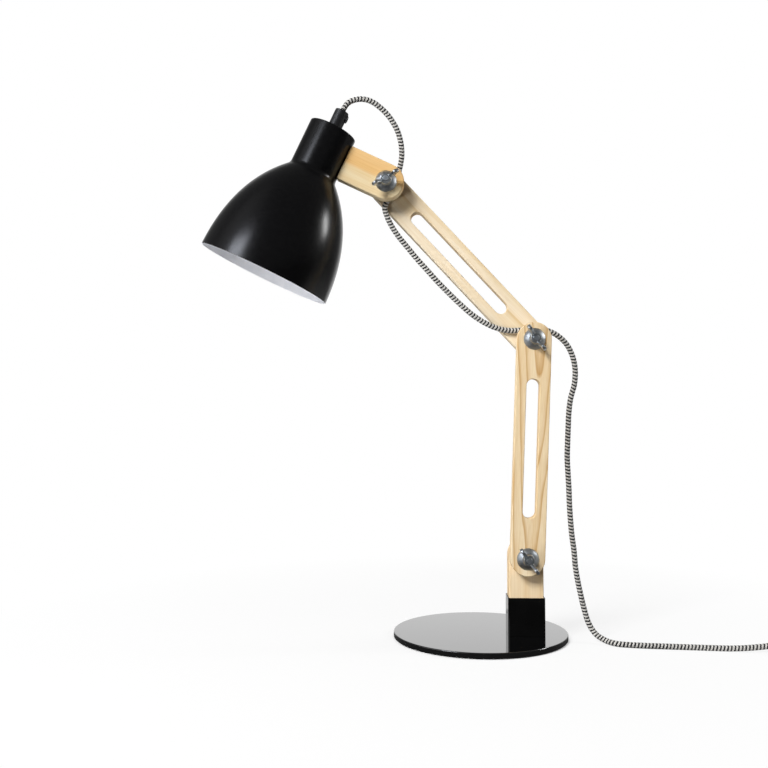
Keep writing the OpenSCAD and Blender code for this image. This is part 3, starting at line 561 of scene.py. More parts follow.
def planed_pine(name, slat, heart, year, pale, honey, dark):
    """Pine, planed, sanded and waxed matt: cream wood with honey growth bands and fine fibres along it.

    slat is the slat's frame with its length along Z, heart the middle of the growth rings beside it and
    year the width of one of them, in millimetres.
    """
    material, tree, shader, here = new_material(name)
    into = slat.inverted()
    shift = into.to_translation() - Vector(heart) * MM
    grain = add(tree, "Mapping", {0: here, "Location": shift, "Rotation": into.to_euler()}).outputs[0]
    # The rings wander a few millimetres over a hand's length
    slow = add(tree, "Mapping", {0: grain, "Scale": (40, 40, 7)})
    wander = add(tree, "TexNoise", {"Vector": slow.outputs[0], "Scale": 1.0, "Detail": 2.0})
    sway = add(tree, "VectorMath", {0: wander.outputs["Color"], 1: (0.5, 0.5, 0.5)}, operation="SUBTRACT")
    bent = add(
        tree, "VectorMath", {0: sway.outputs[0], 1: (7 * MM, 7 * MM, 0), 2: grain}, operation="MULTIPLY_ADD"
    )
    across = add(tree, "VectorMath", {0: bent.outputs[0], 1: (1, 1, 0)}, operation="MULTIPLY")
    reach = add(tree, "VectorMath", {0: across.outputs[0]}, operation="LENGTH")
    years = add(tree, "Math", {0: reach.outputs["Value"], 1: year * MM}, operation="DIVIDE")
    season = add(tree, "Math", {0: years.outputs[0]}, operation="FRACT")
    bands = add(
        tree, "ValToRGB", {0: season.outputs[0]},
        [(0.0, pale), (0.35, pale), (0.68, honey), (0.9, dark), (0.96, pale)],
    )
    # Broad streaks 10 mm wide, and fibres under a millimetre wide and long along the slat
    wide = add(tree, "Mapping", {0: grain, "Scale": (100, 100, 4)})
    streak = add(tree, "TexNoise", {"Vector": wide.outputs[0], "Scale": 1.0, "Detail": 3.0})
    tint = add(tree, "ValToRGB", {0: streak.outputs["Fac"]}, [(0.35, "#ffffff"), (0.7, "#f8efdf")])
    fine = add(tree, "Mapping", {0: grain, "Scale": (1200, 1200, 30)})
    fibre = add(tree, "TexNoise", {"Vector": fine.outputs[0], "Scale": 1.0, "Detail": 2.0})
    thread = add(tree, "ValToRGB", {0: fibre.outputs["Fac"]}, [(0.3, "#f7f1e8"), (0.65, "#ffffff")])
    tinted = multiplied(tree, bands.outputs[0], tint.outputs[0])
    grained = multiplied(tree, tinted, thread.outputs[0])
    relief = add(tree, "Bump", {"Height": fibre.outputs["Fac"], "Strength": 0.1, "Distance": 0.1 * MM})
    gloss = add(tree, "MapRange", {"Value": fibre.outputs["Fac"], "To Min": 0.62, "To Max": 0.75})
    tree.links.new(grained, shader.inputs["Base Color"])
    tree.links.new(gloss.outputs[0], shader.inputs["Roughness"])
    tree.links.new(relief.outputs[0], shader.inputs["Normal"])
    shader.inputs["IOR"].default_value = 1.3
    return material


METAL = {"Metallic": 1.0}

# Sprayed and polished lacquer on steel: a deep black that mirrors its surroundings
gloss_lacquer = finish(
    "gloss_lacquer_on_steel", "#060607", "#09090a", 30 * MM, (0.03, 0.06), 0.004 * MM,
    {"Coat Weight": 1.0, "Coat Roughness": 0.03},
)
# The same lacquer in one thin coat on the folded socket
socket_lacquer = finish(
    "thin_lacquer_on_steel", "#040404", "#070707", 20 * MM, (0.06, 0.1), 0.004 * MM, {"IOR": 1.33}
)
# Baked enamel on spun steel: black with a silky gloss and a trace of orange peel
shade_black = finish(
    "baked_black_enamel", "#050506", "#080809", 3 * MM, (0.23, 0.27), 0.002 * MM, {"IOR": 1.33}
)
# The shade's inside is sprayed white and scatters the light; its faint blue is painted cool light
shade_white = finish("sprayed_white_enamel", "#eaecf2", "#f1f2f7", 6 * MM, (0.42, 0.55), 0.01 * MM)
# Bright zinc plating on pressed and turned steel: bluish grey, faintly cloudy
zinc_plate = finish("zinc_plated_steel", "#9fa5aa", "#b6bbbf", 3 * MM, (0.44, 0.52), 0.01 * MM, METAL)
# Zinc plating on cast wing nuts: a coarser skin than the washers'
zinc_cast = finish("zinc_plated_casting", "#a9aeb1", "#c3c7c9", 1.2 * MM, (0.28, 0.4), 0.03 * MM, METAL)
# Moulded black nylon and ABS: satin, with the mould's fine spark texture
black_nylon = finish("moulded_black_nylon", "#151516", "#1d1d1f", 0.8 * MM, (0.34, 0.46), 0.02 * MM)
# Opal glass: milk white with a smooth skin
opal_glass = finish(
    "opal_glass", "#f0ede6", "#f6f4ee", 15 * MM, (0.12, 0.18), 0.004 * MM, {"Subsurface Weight": 0.2}
)
# Rolled aluminium of the bulb's cap
rolled_aluminium = finish("rolled_aluminium", "#b9bbbd", "#cbcdce", 2 * MM, (0.25, 0.4), 0.02 * MM, METAL)
# Stamped brass of the contact
stamped_brass = finish("stamped_brass", "#b8924a", "#d0ac62", 4 * MM, (0.25, 0.38), 0.01 * MM, METAL)
# Nickel plate on the plug's pins
nickel_plate = finish("nickel_plated_brass", "#b7b2a6", "#c9c4b8", 4 * MM, (0.15, 0.25), 0.006 * MM, METAL)
# Cut sheet of foam rubber under the base
foam_rubber = finish("cut_foam_rubber", "#1d1d1d", "#2b2b2b", 0.7 * MM, (0.85, 0.95), 0.08 * MM)
# Pressed vulcanised fibre of the shim
pressed_fibre = finish("pressed_fibre", "#3a302a", "#4a3d34", 1.5 * MM, (0.7, 0.85), 0.03 * MM)
# Brushed nylon strap of the tie
brushed_nylon = finish("brushed_nylon_strap", "#161617", "#2a2a2c", 0.5 * MM, (0.85, 0.95), 0.1 * MM)

lower_slat = LOWER @ Matrix.Translation((0, LOWER_BACK - SLAT_T / 2, 0))
upper_slat = UPPER @ Matrix.Translation((0, UPPER_BACK - SLAT_T / 2, 0))
post_block = Matrix.Translation((POST_X, POST_MID, 0))
bracket_slat = HEAD @ Matrix.Rotation(math.radians(-90), 4, "Y")
# The lower arm's rings run out of its face at a slant and close in arches towards its foot
slant = Matrix.Rotation(math.radians(3), 4, "X")
pine_lower = planed_pine(
    "planed_pine_lower", lower_slat @ slant, (3, 16, 0), 4.4, "#ecdaba", "#e6d1ae", "#cba673"
)
pine_upper = planed_pine(
    "planed_pine_upper", upper_slat, (-9, 15, 0), 8.5, "#efe2cb", "#e9dabd", "#dec9a3"
)
pine_post = planed_pine(
    "planed_pine_post", post_block, (4, 60, 0), 7, "#eedab9", "#eacfa8", "#e0bd90"
)
# The bracket shows one broad band, golden above and pale below
pine_bracket = planed_pine(
    "planed_pine_bracket", bracket_slat, (45, 6, 0), 50, "#e8d8b5", "#e6c38d", "#e4bf87"
)


# Base: plate, socket and post

def base_screw_bores(z, length):
    """Bars for the two base screws' shanks."""
    spots = [(POST_X + side * BASE_SCREW_OUT, POST_MID, z) for side in (-1, 1)]
    return [bar(BASE_SCREW_R, length, spot, "Z") for spot in spots]


def neck_pocket(matrix):
    """A square bar for a bolt's neck, sunk 4.05 mm from the back face at y = 0."""
    across = 6.12 * MM
    pocket = block("pocket", (across, 6 * MM, across), (0, -1.05 * MM, 0))
    return place(pocket, matrix)


disc = turned(
    "base_disc",
    mm((0, 5.5), (76, 5.5)) + arc((79.2, 4.7), 0.8, 90, 0)
    + arc((79.7, 1.1), 0.3, 0, -90, 3) + mm((0, 0.8)),
    steps=192,
)
cut(disc, *base_screw_bores(3 * MM, 8 * MM))
for side in (-1, 1):
    spot = (POST_X + side * BASE_SCREW_OUT, POST_MID, 2.1 * MM)
    cut(disc, bar(4.75 * MM, 2.8 * MM, spot, "Z", tip=BASE_SCREW_R))
done(disc, "base", "black_lacquer", gloss_lacquer, "base_plate")

socket = block("post_sleeve", SOCKET, (POST_X, POST_MID, BASE_TOP + SOCKET[2] / 2))
only(socket)
edit("EDGE")
pick("edges", lambda e: abs(e.verts[0].co.z - e.verts[1].co.z) > SOCKET[2] / 2)
bpy.ops.mesh.bevel(offset=1.6 * MM, segments=5, affect="EDGES")
bpy.ops.mesh.select_mode(type="FACE")
pick("faces", lambda f: f.normal.z > 0.9)
bpy.ops.mesh.inset(thickness=SOCKET_WALL)
extrude((0, 0, POST_FOOT - BASE_TOP - SOCKET[2]))
clear()
rounded(socket, 0.3 * MM, 2)
cut(socket, *base_screw_bores(6 * MM, 8 * MM))
done(socket, "base", "black_lacquer", socket_lacquer, "post_socket")

half_w = SLAT_W / MM / 2
foot = POST_FOOT / MM
post = plate(
    "pine_post",
    mm((-half_w, foot), (half_w, foot)) + arc((0, PIVOT_Z / MM), half_w, 0, 180, 36),
    POST_D,
)
rounded(post, 0.9 * MM)
place(post, Matrix.Translation((POST_X, POST_BACK, 0)))
bolt_bore = bar(BORE_R, 2 * POST_D, BASE_PIVOT + Vector((0, POST_MID, 0)))
cut(post, bolt_bore, *base_screw_bores(19.5 * MM, 28 * MM))
cut(post, neck_pocket(Matrix.Translation(BASE_PIVOT + Vector((0, POST_BACK, 0)))))
done(post, "base", "pine", pine_post, "base_post")


# Arms: slotted slats with round ends, modelled once

def slotted_slat():
    """A slat with round ends, a bore at each pivot and a long slot between them."""
    pitch = ARM_PITCH / MM
    half_slot = SLOT_W / MM / 2
    run = (SLOT_L - SLOT_W) / MM / 2
    piece = plate(
        "lower_slat", arc((0, 0), half_w, 180, 360, 36) + arc((0, pitch), half_w, 0, 180, 36), SLAT_T
    )
    slot = plate(
        "slot",
        arc((0, pitch / 2 - run), half_slot, 180, 360, 20)
        + arc((0, pitch / 2 + run), half_slot, 0, 180, 20),
        3 * SLAT_T,
    )
    cut(piece, place(slot, Matrix.Translation((0, SLAT_T, 0))))
    cut(piece, bar(BORE_R, 3 * SLAT_T, (0, 0, 0)), bar(BORE_R, 3 * SLAT_T, (0, 0, ARM_PITCH)))
    return piece


lower = rounded(slotted_slat(), SLAT_EDGE, 4)
upper = copied(lower, "upper_slat")
for height in (0, ARM_PITCH):
    cut(upper, neck_pocket(Matrix.Translation((0, 0, height))))
place(lower, LOWER @ Matrix.Translation((0, LOWER_BACK, 0)))
place(upper, UPPER @ Matrix.Translation((0, UPPER_BACK, 0)))
done(lower, "lower_arm", "pine", pine_lower, "lower_arm")
done(upper, "upper_arm", "pine", pine_upper, "upper_arm")

# Head bracket, one round end at the pivot and one flat end at the neck
half_b = BRACKET_W / MM / 2
bracket = plate(
    "bracket_slat",
    arc((0, 0), half_b, -90, 90, 36) + mm((-BRACKET_L / MM, half_b), (-BRACKET_L / MM, -half_b)),
    SLAT_T,
)
rounded(bracket, SLAT_EDGE, 4)
place(bracket, Matrix.Translation((0, SLAT_T / 2, 0)))
cut(bracket, bar(BORE_R, 3 * SLAT_T, (0, 0, 0)))
for side in (-1, 1):
    spot = (-BRACKET_L + 9 * MM, 0, side * BRACKET_SCREW_OUT)
    cut(bracket, bar(BRACKET_SCREW_R, 26 * MM, spot, "X"))
place(bracket, HEAD)
done(bracket, "head", "golden_pine", pine_bracket, "head_bracket")


# Pivots: carriage bolts, cup washers and wing nuts

def carriage_bolt(name, length):
    """Domed head below z = 0, square neck, threaded shank up to its chamfered tip."""
    end = length / MM
    thread = [p for i in range(6) for p in ((2.72, end - 7 + i), (3.0, end - 6.5 + i))]
    head = arc((0, 6.572), 9.972, -90, -41.23, 10)
    bolt = turned(name, head + mm((3, 0), (3, end - 7.3), *thread, (2.3, end), (0, end)), 48)
    neck = rounded(block("neck", (6 * MM, 6 * MM, 4 * MM), (0, 0, 2 * MM)), 0.3 * MM, 2)
    return joined(bolt, neck)


def cup_washer(name):
    """A pressed dome of sheet with a flat crown under the nut."""
    dome, inner, centre = 12.215, 11.215, (0, -7.015)
    top = arc(centre, dome, 35.05, 66.66, 12)
    outline = top + mm((3.3, 4.2), (3.3, 3.2)) + arc(centre, inner, 65.62, 38.72, 10)
    return rounded(turned(name, outline + outline[:1], 72), 0.3 * MM, 3)


def wing_nut(name):
    """A tapered hub and two upswept wings with round tips, run together as a casting's are."""
    hub = turned("hub", mm((0, 0), (5.5, 0), (5.5, 0.8), (4.8, 6.4), (0, 6.4)), 48)
    thickness = 3 * MM
    outline = mm((3, 0.5), (5.6, 0.5)) + arc((10, 9.4), 3.6, -28, 125, 14) + mm((3, 5.8))
    wings = []
    for side in (0, math.pi):
        wing = plate("wing", outline, thickness)
        turn = Matrix.Rotation(side, 4, "Z") @ Matrix.Translation((0, thickness / 2, 0))
        wings.append(place(rounded(wing, 0.6 * MM), turn))
    nut = joined(hub, *wings)
    nut.name = name
    apply(nut, "REMESH", mode="VOXEL", voxel_size=0.28 * MM)
    apply(nut, "SMOOTH", factor=0.5, iterations=5)
    return cut(nut, bar(BORE_R, 30 * MM, (0, 0, 0), "Z"))


washer = cup_washer("cup_pattern")
nut = wing_nut("wing_pattern")
# Name, place, degrees that the wings are turned, and what carries the washer
pivots = (
    ("base", BASE_PIVOT, 54.5, "lower_arm"),
    ("elbow", ELBOW_PIVOT, 56, "lower_arm"),
    ("head", HEAD_PIVOT, -29, "head"),
)
for name, pivot, turn, carrier in pivots:
    cup = copied(washer, name + "_cup")
    place(cup, Matrix.Translation(pivot + Vector((0, LOWER_FRONT, 0))) @ TO_FRONT)
    done(cup, carrier, "zinc", zinc_plate, name + "_washer")
    wings = copied(nut, name + "_wings")
    spin = Matrix.Rotation(math.radians(turn), 4, "Y")
    place(wings, Matrix.Translation(pivot + Vector((0, NUT_SEAT, 0))) @ spin @ TO_FRONT)
    done(wings, name + "_nut", "zinc", zinc_cast, name + "_wing_nut")
for pattern in (washer, nut):
    bpy.data.objects.remove(pattern)

base_bolt = carriage_bolt("base_carriage_bolt", 45.3 * MM)
arm_bolt = carriage_bolt("elbow_carriage_bolt", 41 * MM)
far_bolt = copied(arm_bolt, "head_carriage_bolt")
place(base_bolt, Matrix.Translation(BASE_PIVOT + Vector((0, POST_BACK, 0))) @ TO_FRONT)
place(arm_bolt, UPPER @ Matrix.Translation((0, UPPER_BACK, 0)) @ TO_FRONT)
place(far_bolt, UPPER @ Matrix.Translation((0, UPPER_BACK, ARM_PITCH)) @ TO_FRONT)
done(base_bolt, "base", "zinc", zinc_plate, "base_bolt")
done(arm_bolt, "upper_arm", "zinc", zinc_plate, "elbow_bolt")
done(far_bolt, "upper_arm", "zinc", zinc_plate, "head_bolt")


# Shade: one spun sheet, black outside and white inside, with a rounded rim

STEM_R = 5.05


def shade_outlines():
    """Outer and inner profile of radius and height, with the shade's top at 0."""
    neck, wall, edge, hollow = 22.5, 0.9, 1, 7
    centre = (neck + hollow, -41.5)
    low = math.radians(225)
    start = Vector((centre[0] + hollow * math.cos(low), centre[1] + hollow * math.sin(low)))
    bulge = start + (61.2 - start.x) * Vector((1, -1))
    rim = Vector((62.2, -147.2))
    outer, inner = [], []
    for t in (i / 40 for i in range(1, 41)):
        spot = (1 - t) ** 2 * start + 2 * t * (1 - t) * bulge + t * t * rim
        run = ((1 - t) * (bulge - start) + t * (rim - bulge)).normalized()
        outer.append(tuple(spot))
        inner.append(tuple(spot + wall * Vector((run.y, -run.x))))
    corner = (neck - edge, -edge)
    top = mm((STEM_R, 0), (19, 0)) + arc(corner, edge, 90, 0, 8)
    outside = top + arc(centre, hollow, 180, 225, 10) + mm(*outer)
    inside = mm(*inner[::-1]) + arc(centre, hollow + wall, 225, 180, 10)
    return outside, inside + arc(corner, edge - wall, 0, 90, 4) + mm((STEM_R, -wall))


def looks_inwards(face):
    """Whether a face of the upright shade belongs to its inside."""
    outwards = Vector((middle(face).x, middle(face).y, 0)).normalized()
    return face.normal.dot(outwards + Vector((0, 0, 0.6))) < -0.1


outside, inside = shade_outlines()
bell = turned("spun_shade", outside + inside + outside[:1], 144)
rounded(bell, 0.3 * MM, 2, 60)
for side in (-1, 1):
    spot = (22 * MM, 0, side * BRACKET_SCREW_OUT - SHADE_RISE)
    cut(bell, bar(BRACKET_SCREW_R, 8 * MM, spot, "X"))
bell.data.materials.append(shade_black)
bell.data.materials.append(shade_white)
only(bell)
edit("FACE")
pick("faces", looks_inwards)
bell.active_material_index = 1
bpy.ops.object.material_slot_assign()
clear()
place(bell, SHADE)
done(bell, "head", "shade_enamel", None, "shade")

# Cord grip on the shade's top, with the boss of its clamp screw
grip = turned(
    "grip_body",
    mm((0, -10.7), (5, -10.7), (5, 0), (7.3, 0), (7.3, 1.6)) + arc((6.9, 1.6), 0.4, 0, 90, 3)
    + mm((6.5, 2.8), (6.5, 18.7)) + arc((5.7, 18.7), 0.8, 0, 90, 4) + mm((0, GRIP_TOP)),
    64,
)
boss = rounded(bar(3.5 * MM, 3.5 * MM, (5.75 * MM, 0, GRIP_SCREW_Z), "X"), 0.4 * MM)
cut(grip, bar(CORD_HOLE_R, 60 * MM, (0, 0, 0), "Z"))
for piece in (grip, boss):
    cut(piece, bar(GRIP_SCREW_R + 0.05 * MM, 13 * MM, (6.5 * MM, 0, GRIP_SCREW_Z), "X"))
place(joined(grip, boss), SHADE)
done(grip, "head", "black_plastic", black_nylon, "cord_grip")
screw = bar(GRIP_SCREW_R, 5.6 * MM, (5.5 * MM, 0, GRIP_SCREW_Z), "X")
screw.name = "clamp_screw"
rounded(screw, 0.3 * MM)
cut(screw, block("driver_slot", (2 * MM, 8 * MM, 0.9 * MM), (8.5 * MM, 0, GRIP_SCREW_Z)))
place(screw, SHADE)
done(screw, "head", "black_plastic", black_nylon, "grip_screw")

# Lamp holder: cap on the stem, ribbed shell, and the bulb's cap and globe
cap_outline = mm(
    (STEM_R, -4.5), (12.4, -4.5), (13.6, -5), (16.5, -7.9), (17, -9.1), (17, -18.5), (14.8, -18.5),
    (14.8, -9.6), (11.9, -6.7), (STEM_R, -6.7),
)
holder_cap = turned("holder_dome", cap_outline + cap_outline[:1], 64)
place(rounded(holder_cap, 0.3 * MM, 2), SHADE)
done(holder_cap, "head", "black_plastic", black_nylon, "holder_cap")
ribs = []
for down in range(22, 42, 4):
    ribs += [(17, -down), (16.5, -down - 0.4), (16.5, -down - 1.6), (17, -down - 2)]
shell_outline = mm((14.8, -18.5), (17, -18.5), *ribs, (17, -46.5), (14.8, -46.5))
holder_shell = turned("holder_sleeve", shell_outline + shell_outline[:1], 64)
place(rounded(holder_shell, 0.15 * MM, 2), SHADE)
done(holder_shell, "head", "black_plastic", black_nylon, "holder_shell")
screw_thread = []
for i in range(5):
    screw_thread += [(13.1, -30.6 - 3 * i), (12.5, -31.6 - 3 * i), (12.5, -32.4 - 3 * i)]
contact = mm((0, -22.9), (3.6, -22.9), (4.2, -23.4), (4.2, -25.9), (12.6, -28.7))
bulb_cap = turned("bulb_screw_cap", contact + mm(*screw_thread, (13.1, -46.9), (0, -46.9)), 64)
place(bulb_cap, SHADE)
done(bulb_cap, "head", "bulb_metal", rolled_aluminium, "bulb_cap")
flank = [(13.5 + 16.5 * (1 - math.cos(math.pi * i / 20)) / 2, -46.9 - 2.4 * i) for i in range(20)]
globe = turned("bulb_glass", mm((0, -46.9), *flank) + arc((0, -94.9), 30, 0, -90, 18), 96)
place(globe, SHADE)
done(globe, "head", "opal_glass", opal_glass, "bulb_globe")


# Inline switch, coil tie and plug

def switch_shell(name, low, high, soft_edge, soft_side):
    """Half of the switch: a box with round corners, softened along its outer edge."""
    at = (SWITCH_MID * MM, SWITCH_Y * MM, (low + high) / 2 * MM)
    shell = block(name, (58 * MM, 25 * MM, (high - low) * MM), at)
    only(shell)
    edit("EDGE")
    pick("edges", lambda e: abs(e.verts[0].co.z - e.verts[1].co.z) > 3 * MM)
    bpy.ops.mesh.bevel(offset=9 * MM, segments=10, affect="EDGES")
    outer = (high if soft_side > 0 else low) * MM
    pick("edges", lambda e: all(abs(v.co.z - outer) < 0.01 * MM for v in e.verts))
    bpy.ops.mesh.bevel(offset=soft_edge, segments=5, affect="EDGES")
    clear()
    rounded(shell, 0.25 * MM, 2, 60)
    entry = bar(CORD_HOLE_R, 80 * MM, (SWITCH_MID * MM, SWITCH_Y * MM, SWITCH_Z * MM), "X")
    return cut(shell, entry)


SWITCH_TOP = 14.5
ROCKER_Z = 11.7
ROCKER_TILT = math.radians(8)
# The two screws stand on a diagonal of the switch
SCREW_ALONG, SCREW_ASIDE = 18, 7.3
switch_low = switch_shell("switch_base", 0, SWITCH_Z, 1 * MM, -1)
switch_high = switch_shell("switch_cover", SWITCH_Z, SWITCH_TOP, 3 * MM, 1)
for side in (-1, 1):
    spot = Vector((SWITCH_MID + side * SCREW_ALONG, SWITCH_Y + side * SCREW_ASIDE, 0)) * MM
    for piece in (switch_low, switch_high):
        cut(piece, bar(1.55 * MM, 26.6 * MM, spot, "Z"))
    cut(switch_low, bar(3.05 * MM, 4 * MM, spot, "Z"))
well = block("well", (22.5 * MM, 10.8 * MM, 12 * MM), (SWITCH_MID * MM, SWITCH_Y * MM, 13 * MM))
cut(switch_high, well, bar(1.26 * MM, 14.6 * MM, (SWITCH_MID * MM, SWITCH_Y * MM, ROCKER_Z * MM)))
done(switch_low, "base", "black_plastic", black_nylon, "switch_lower")
done(switch_high, "base", "black_plastic", black_nylon, "switch_upper")

dip = 10 * math.tan(ROCKER_TILT)
paddles = plate(
    "rocker_paddles",
    mm((-3, -3), (3, -3), (10, -1), (10, 4.4), (0, 4.4 - dip), (-10, 4.4), (-10, -1)),
    10 * MM,
)
rounded(paddles, 0.5 * MM, 3, 10)
place(paddles, Matrix.Translation((0, 5 * MM, 0)))
joined(paddles, rounded(bar(1.2 * MM, 13.6 * MM, (0, 0, 0)), 0.2 * MM, 2))
rocker_at = Matrix.Translation(Vector((SWITCH_MID, SWITCH_Y, ROCKER_Z)) * MM)
place(paddles, rocker_at @ Matrix.Rotation(-ROCKER_TILT, 4, "Y"))
done(paddles, "rocker", "black_plastic", black_nylon, "switch_rocker")

# The strap goes round both layers of the coil; CORD_ROOM is a cord's width with a little play
STRAP = 0.6
CORD_ROOM = 5.6
tie_size = (
    COIL_STEP * COIL_TURNS / 2 + CORD_ROOM + COIL_STEP / 2 + 2 * STRAP,
    8,
    COIL_STEP + CORD_ROOM + 2 * STRAP,
)
tie = block("coil_strap", [value * MM for value in tie_size])
edit("EDGE")
pick("edges", lambda e: abs(e.verts[0].co.y - e.verts[1].co.y) > 4 * MM)
bpy.ops.mesh.bevel(offset=1.6 * MM, segments=6, affect="EDGES")
bpy.ops.mesh.select_mode(type="FACE")
pick("faces", lambda f: abs(f.normal.y) > 0.9)
bpy.ops.mesh.delete(type="FACE")
clear()
apply(tie, "SOLIDIFY", thickness=STRAP * MM, offset=-1)
strap_end = block("strap_end", mm((9, 7.6, 0.5))[0], mm((2, 0, tie_size[2] / 2 + 0.15))[0])
joined(tie, rounded(strap_end, 0.2 * MM, 2))
tie_reach = COIL_R + COIL_STEP * COIL_TURNS / 4 - COIL_STEP / 8
tie_turn = Matrix.Rotation(math.radians(150), 4, "Z") @ Matrix.Translation((tie_reach * MM, 0, 0))
place(tie, Matrix.Translation(Vector((COIL_X, COIL_Y, tie_size[2] / 2)) * MM) @ tie_turn)
done(tie, "base", "tie_fabric", brushed_nylon, "coil_tie")

PLUG_T = 13.7 * MM
PIN_OUT = 9.3
plug_y = TAIL_Y + 44
plug = plate(
    "plug_moulding",
    mm((-7.5, 0), (7.5, 0), (17.5, 13), (17.5, 33), (14.5, 36), (-14.5, 36), (-17.5, 33), (-17.5, 13)),
    PLUG_T,
)
rounded(plug, 2.2 * MM, 5, 20)
lay_flat = Matrix.Rotation(math.radians(-90), 4, "X")
plug_at = Matrix.Translation(Vector((PLUG_X, plug_y, PLUG_Z)) * MM)
place(plug, plug_at @ lay_flat @ Matrix.Translation((0, PLUG_T / 2, 0)))
for side in (-1, 1):
    cut(plug, bar(1.66 * MM, 26 * MM, Vector((PLUG_X + side * PIN_OUT, plug_y + 37, PLUG_Z)) * MM))
done(plug, "base", "black_plastic", black_nylon, "plug_body")
grooves = []
for i in range(1, 5):
    reach = 3.8 + 1.7 * i / 6
    grooves += [(reach, 4 * i), (reach - 0.7, 4 * i + 0.2)]
    grooves += [(reach - 0.6, 4 * i + 1.1), (reach + 0.1, 4 * i + 1.33)]
sleeve_outline = mm((2.7, 0), (3.8, 0), *grooves, (5.5, 24), (0, 24), (0, 10.4), (2.7, 10.4))
sleeve = turned("plug_strain_relief", sleeve_outline + sleeve_outline[:1], 48)
rounded(sleeve, 0.2 * MM, 2, 50)
place(sleeve, Matrix.Translation(Vector((PLUG_X, TAIL_Y + 20, PLUG_Z)) * MM) @ lay_flat)
done(sleeve, "base", "black_plastic", black_nylon, "plug_sleeve")

# Pieces that keep the shape of their solids
kept = {
    "base_pad": foam_rubber, "base_screws": zinc_plate, "pivot_shim": pressed_fibre,
    "elbow_spacer": zinc_plate, "head_spacer": zinc_plate, "bracket_screws": zinc_plate,
    "lock_nut": zinc_plate, "holder_contact": stamped_brass, "switch_screws": zinc_plate,
    "plug_pins": nickel_plate,
}
for name, material in kept.items():
    nodes[name].data.materials.clear()
    nodes[name].data.materials.append(material)


# Studio: pale floor, bright backdrop behind, softbox at the left front, strip light at the right

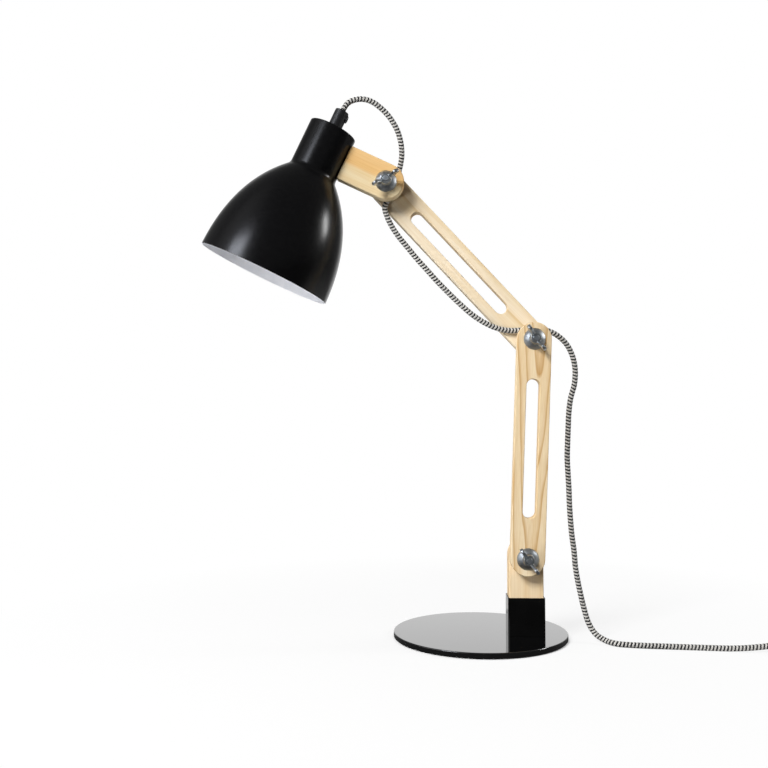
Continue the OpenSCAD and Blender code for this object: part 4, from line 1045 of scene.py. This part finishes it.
def studio():
    """The floor, the room that polished pieces mirror, and the lights."""
    clear()
    bpy.ops.mesh.primitive_plane_add(size=8, location=(0, 0, -0.1 * MM))
    floor = named("studio_floor")
    material = bpy.data.materials.new("white_paper_sweep")
    material.use_nodes = True
    tree = material.node_tree
    tree.nodes.clear()
    rays = add(tree, "LightPath")
    # To the camera the paper is pale; to bounced and mirrored light it is dark grey in front of the lamp
    # and in a ring round its plate: painted shade that keeps bounced light off the lamp's front and that
    # the plate's rim mirrors as a dark reflection
    here = add(tree, "TexCoord").outputs["Object"]
    front = add(tree, "SeparateXYZ", {0: here})
    dark_ahead = add(tree, "MapRange", {"Value": front.outputs["Y"], "From Min": -0.25, "From Max": 0.05})
    before = add(tree, "VectorMath", {0: here, 1: (0, -0.06, 0)}, operation="DISTANCE")
    ring = add(tree, "MapRange", {"Value": before.outputs["Value"], "From Min": 0.15, "From Max": 0.19})
    bare = add(tree, "Math", {0: dark_ahead.outputs[0], 1: ring.outputs[0]}, operation="MULTIPLY")
    held = add(tree, "ValToRGB", {0: bare.outputs[0]}, [(0.0, "#505050"), (1.0, "#f4f4f4")])
    by_camera = rays.outputs["Is Camera Ray"]
    tone = add(tree, "Mix", {0: by_camera, 6: held.outputs[0], 7: colour("#f2f2f2")}, data_type="RGBA")
    paper = add(tree, "BsdfDiffuse", {"Color": tone.outputs[2]})
    glow = add(tree, "Emission", {"Strength": 1.0})
    # The camera sees the paper glow white away from the lamp, a painted brightness in place of lighting;
    # nearer the lamp the glow fades so that the paper's real shadow shows, and under the plate it is gone
    spread = add(tree, "VectorMath", {0: here}, operation="LENGTH")
    glow_fade = add(
        tree, "ValToRGB", {0: spread.outputs["Value"]},
        [(0.079, "#000000"), (0.0805, "#e8e8e8"), (0.1, "#eaeaea"), (0.5, "#ffffff")],
    )
    share = add(tree, "Math", {0: by_camera, 1: glow_fade.outputs[0]}, operation="MULTIPLY")
    seen = add(tree, "MixShader", {0: share.outputs[0], 1: paper.outputs[0], 2: glow.outputs[0]})
    add(tree, "OutputMaterial", {0: seen.outputs[0]})
    floor.data.materials.append(material)

    world = bpy.data.worlds.new("studio")
    bpy.context.scene.world = world
    world.use_nodes = True
    tree = world.node_tree
    tree.nodes.clear()
    rays = add(tree, "LightPath")
    aim = add(tree, "SeparateXYZ", {0: add(tree, "TexCoord").outputs["Generated"]})
    # The bright backdrop stands straight behind the lamp and a pale wall, brightest low down, at its left
    # front; the rest of the room is dim
    behind = add(tree, "MapRange", {"Value": aim.outputs["Y"], "From Min": 0.6, "From Max": 0.9})
    aside = add(tree, "Math", {0: aim.outputs["X"]}, operation="ABSOLUTE")
    near = add(tree, "MapRange", {"Value": aside.outputs[0], "From Min": 0.55, "From Max": 0.3})
    there = add(tree, "Math", {0: behind.outputs[0], 1: near.outputs[0]}, operation="MULTIPLY")
    backdrop = add(tree, "MapRange", {"Value": there.outputs[0], "To Min": 0.16})
    left = add(
        tree, "MapRange", {"Value": aim.outputs["X"], "From Min": -0.25, "From Max": -0.6, "To Max": 1.6}
    )
    ahead = add(tree, "MapRange", {"Value": aim.outputs["Y"], "From Min": 0.1, "From Max": -0.2})
    low = add(
        tree, "MapRange", {"Value": aim.outputs["Z"], "From Min": 0.5, "From Max": 0.25, "To Min": 0.25}
    )
    wall = add(tree, "Math", {0: left.outputs[0], 1: ahead.outputs[0]}, operation="MULTIPLY")
    terms = {0: wall.outputs[0], 1: low.outputs[0], 2: backdrop.outputs[0]}
    room = add(tree, "Math", terms, operation="MULTIPLY_ADD")
    mirror = add(tree, "Math", {0: rays.outputs["Is Glossy Ray"], 1: rays.outputs["Is Transmission Ray"]})
    mirrored = add(tree, "Mix", {0: mirror.outputs[0], 2: 0.06, 3: room.outputs[0]})
    level = add(tree, "Mix", {0: rays.outputs["Is Camera Ray"], 2: mirrored.outputs[0], 3: 1.0})
    shine = add(tree, "Background", {"Color": (1, 1, 1, 1), "Strength": level.outputs[0]})
    add(tree, "OutputWorld", {0: shine.outputs[0]})

    # Name, place, size, watts and tint; all are aimed at the middle of the lamp. The softbox is only
    # mirrored, and the key light and the card are never mirrored
    target = Vector((-0.05, -0.02, 0.32))
    lights = (
        ("key_light", (-1.5, -2.09, 1.93), (1.0, 1.0), 111.0, "#ffffff"),
        ("softbox", (-0.97, -0.92, 0.88), (0.5, 0.34), 9.3, "#eef3ff"),
        ("side_strip", (0.99, 0.08, 0.685), (0.16, 0.28), 4.5, "#ffffff"),
        ("reflector_card", (-0.62, -0.4, 0.03), (0.4, 0.4), 4.9, "#ffffff"),
    )
    for name, spot, size, watts, tint in lights:
        clear()
        facing = (target - Vector(spot)).to_track_quat("-Z", "Y").to_euler()
        bpy.ops.object.light_add(type="AREA", location=spot, rotation=facing)
        lamp = named(name)
        lamp.data.shape = "RECTANGLE"
        lamp.data.size, lamp.data.size_y = size
        lamp.data.energy = watts
        lamp.data.color = colour(tint)[:3]
        lamp.visible_glossy = name in ("softbox", "side_strip")
        lamp.visible_diffuse = name != "softbox"
    bpy.context.scene.view_settings.view_transform = "Standard"


studio()
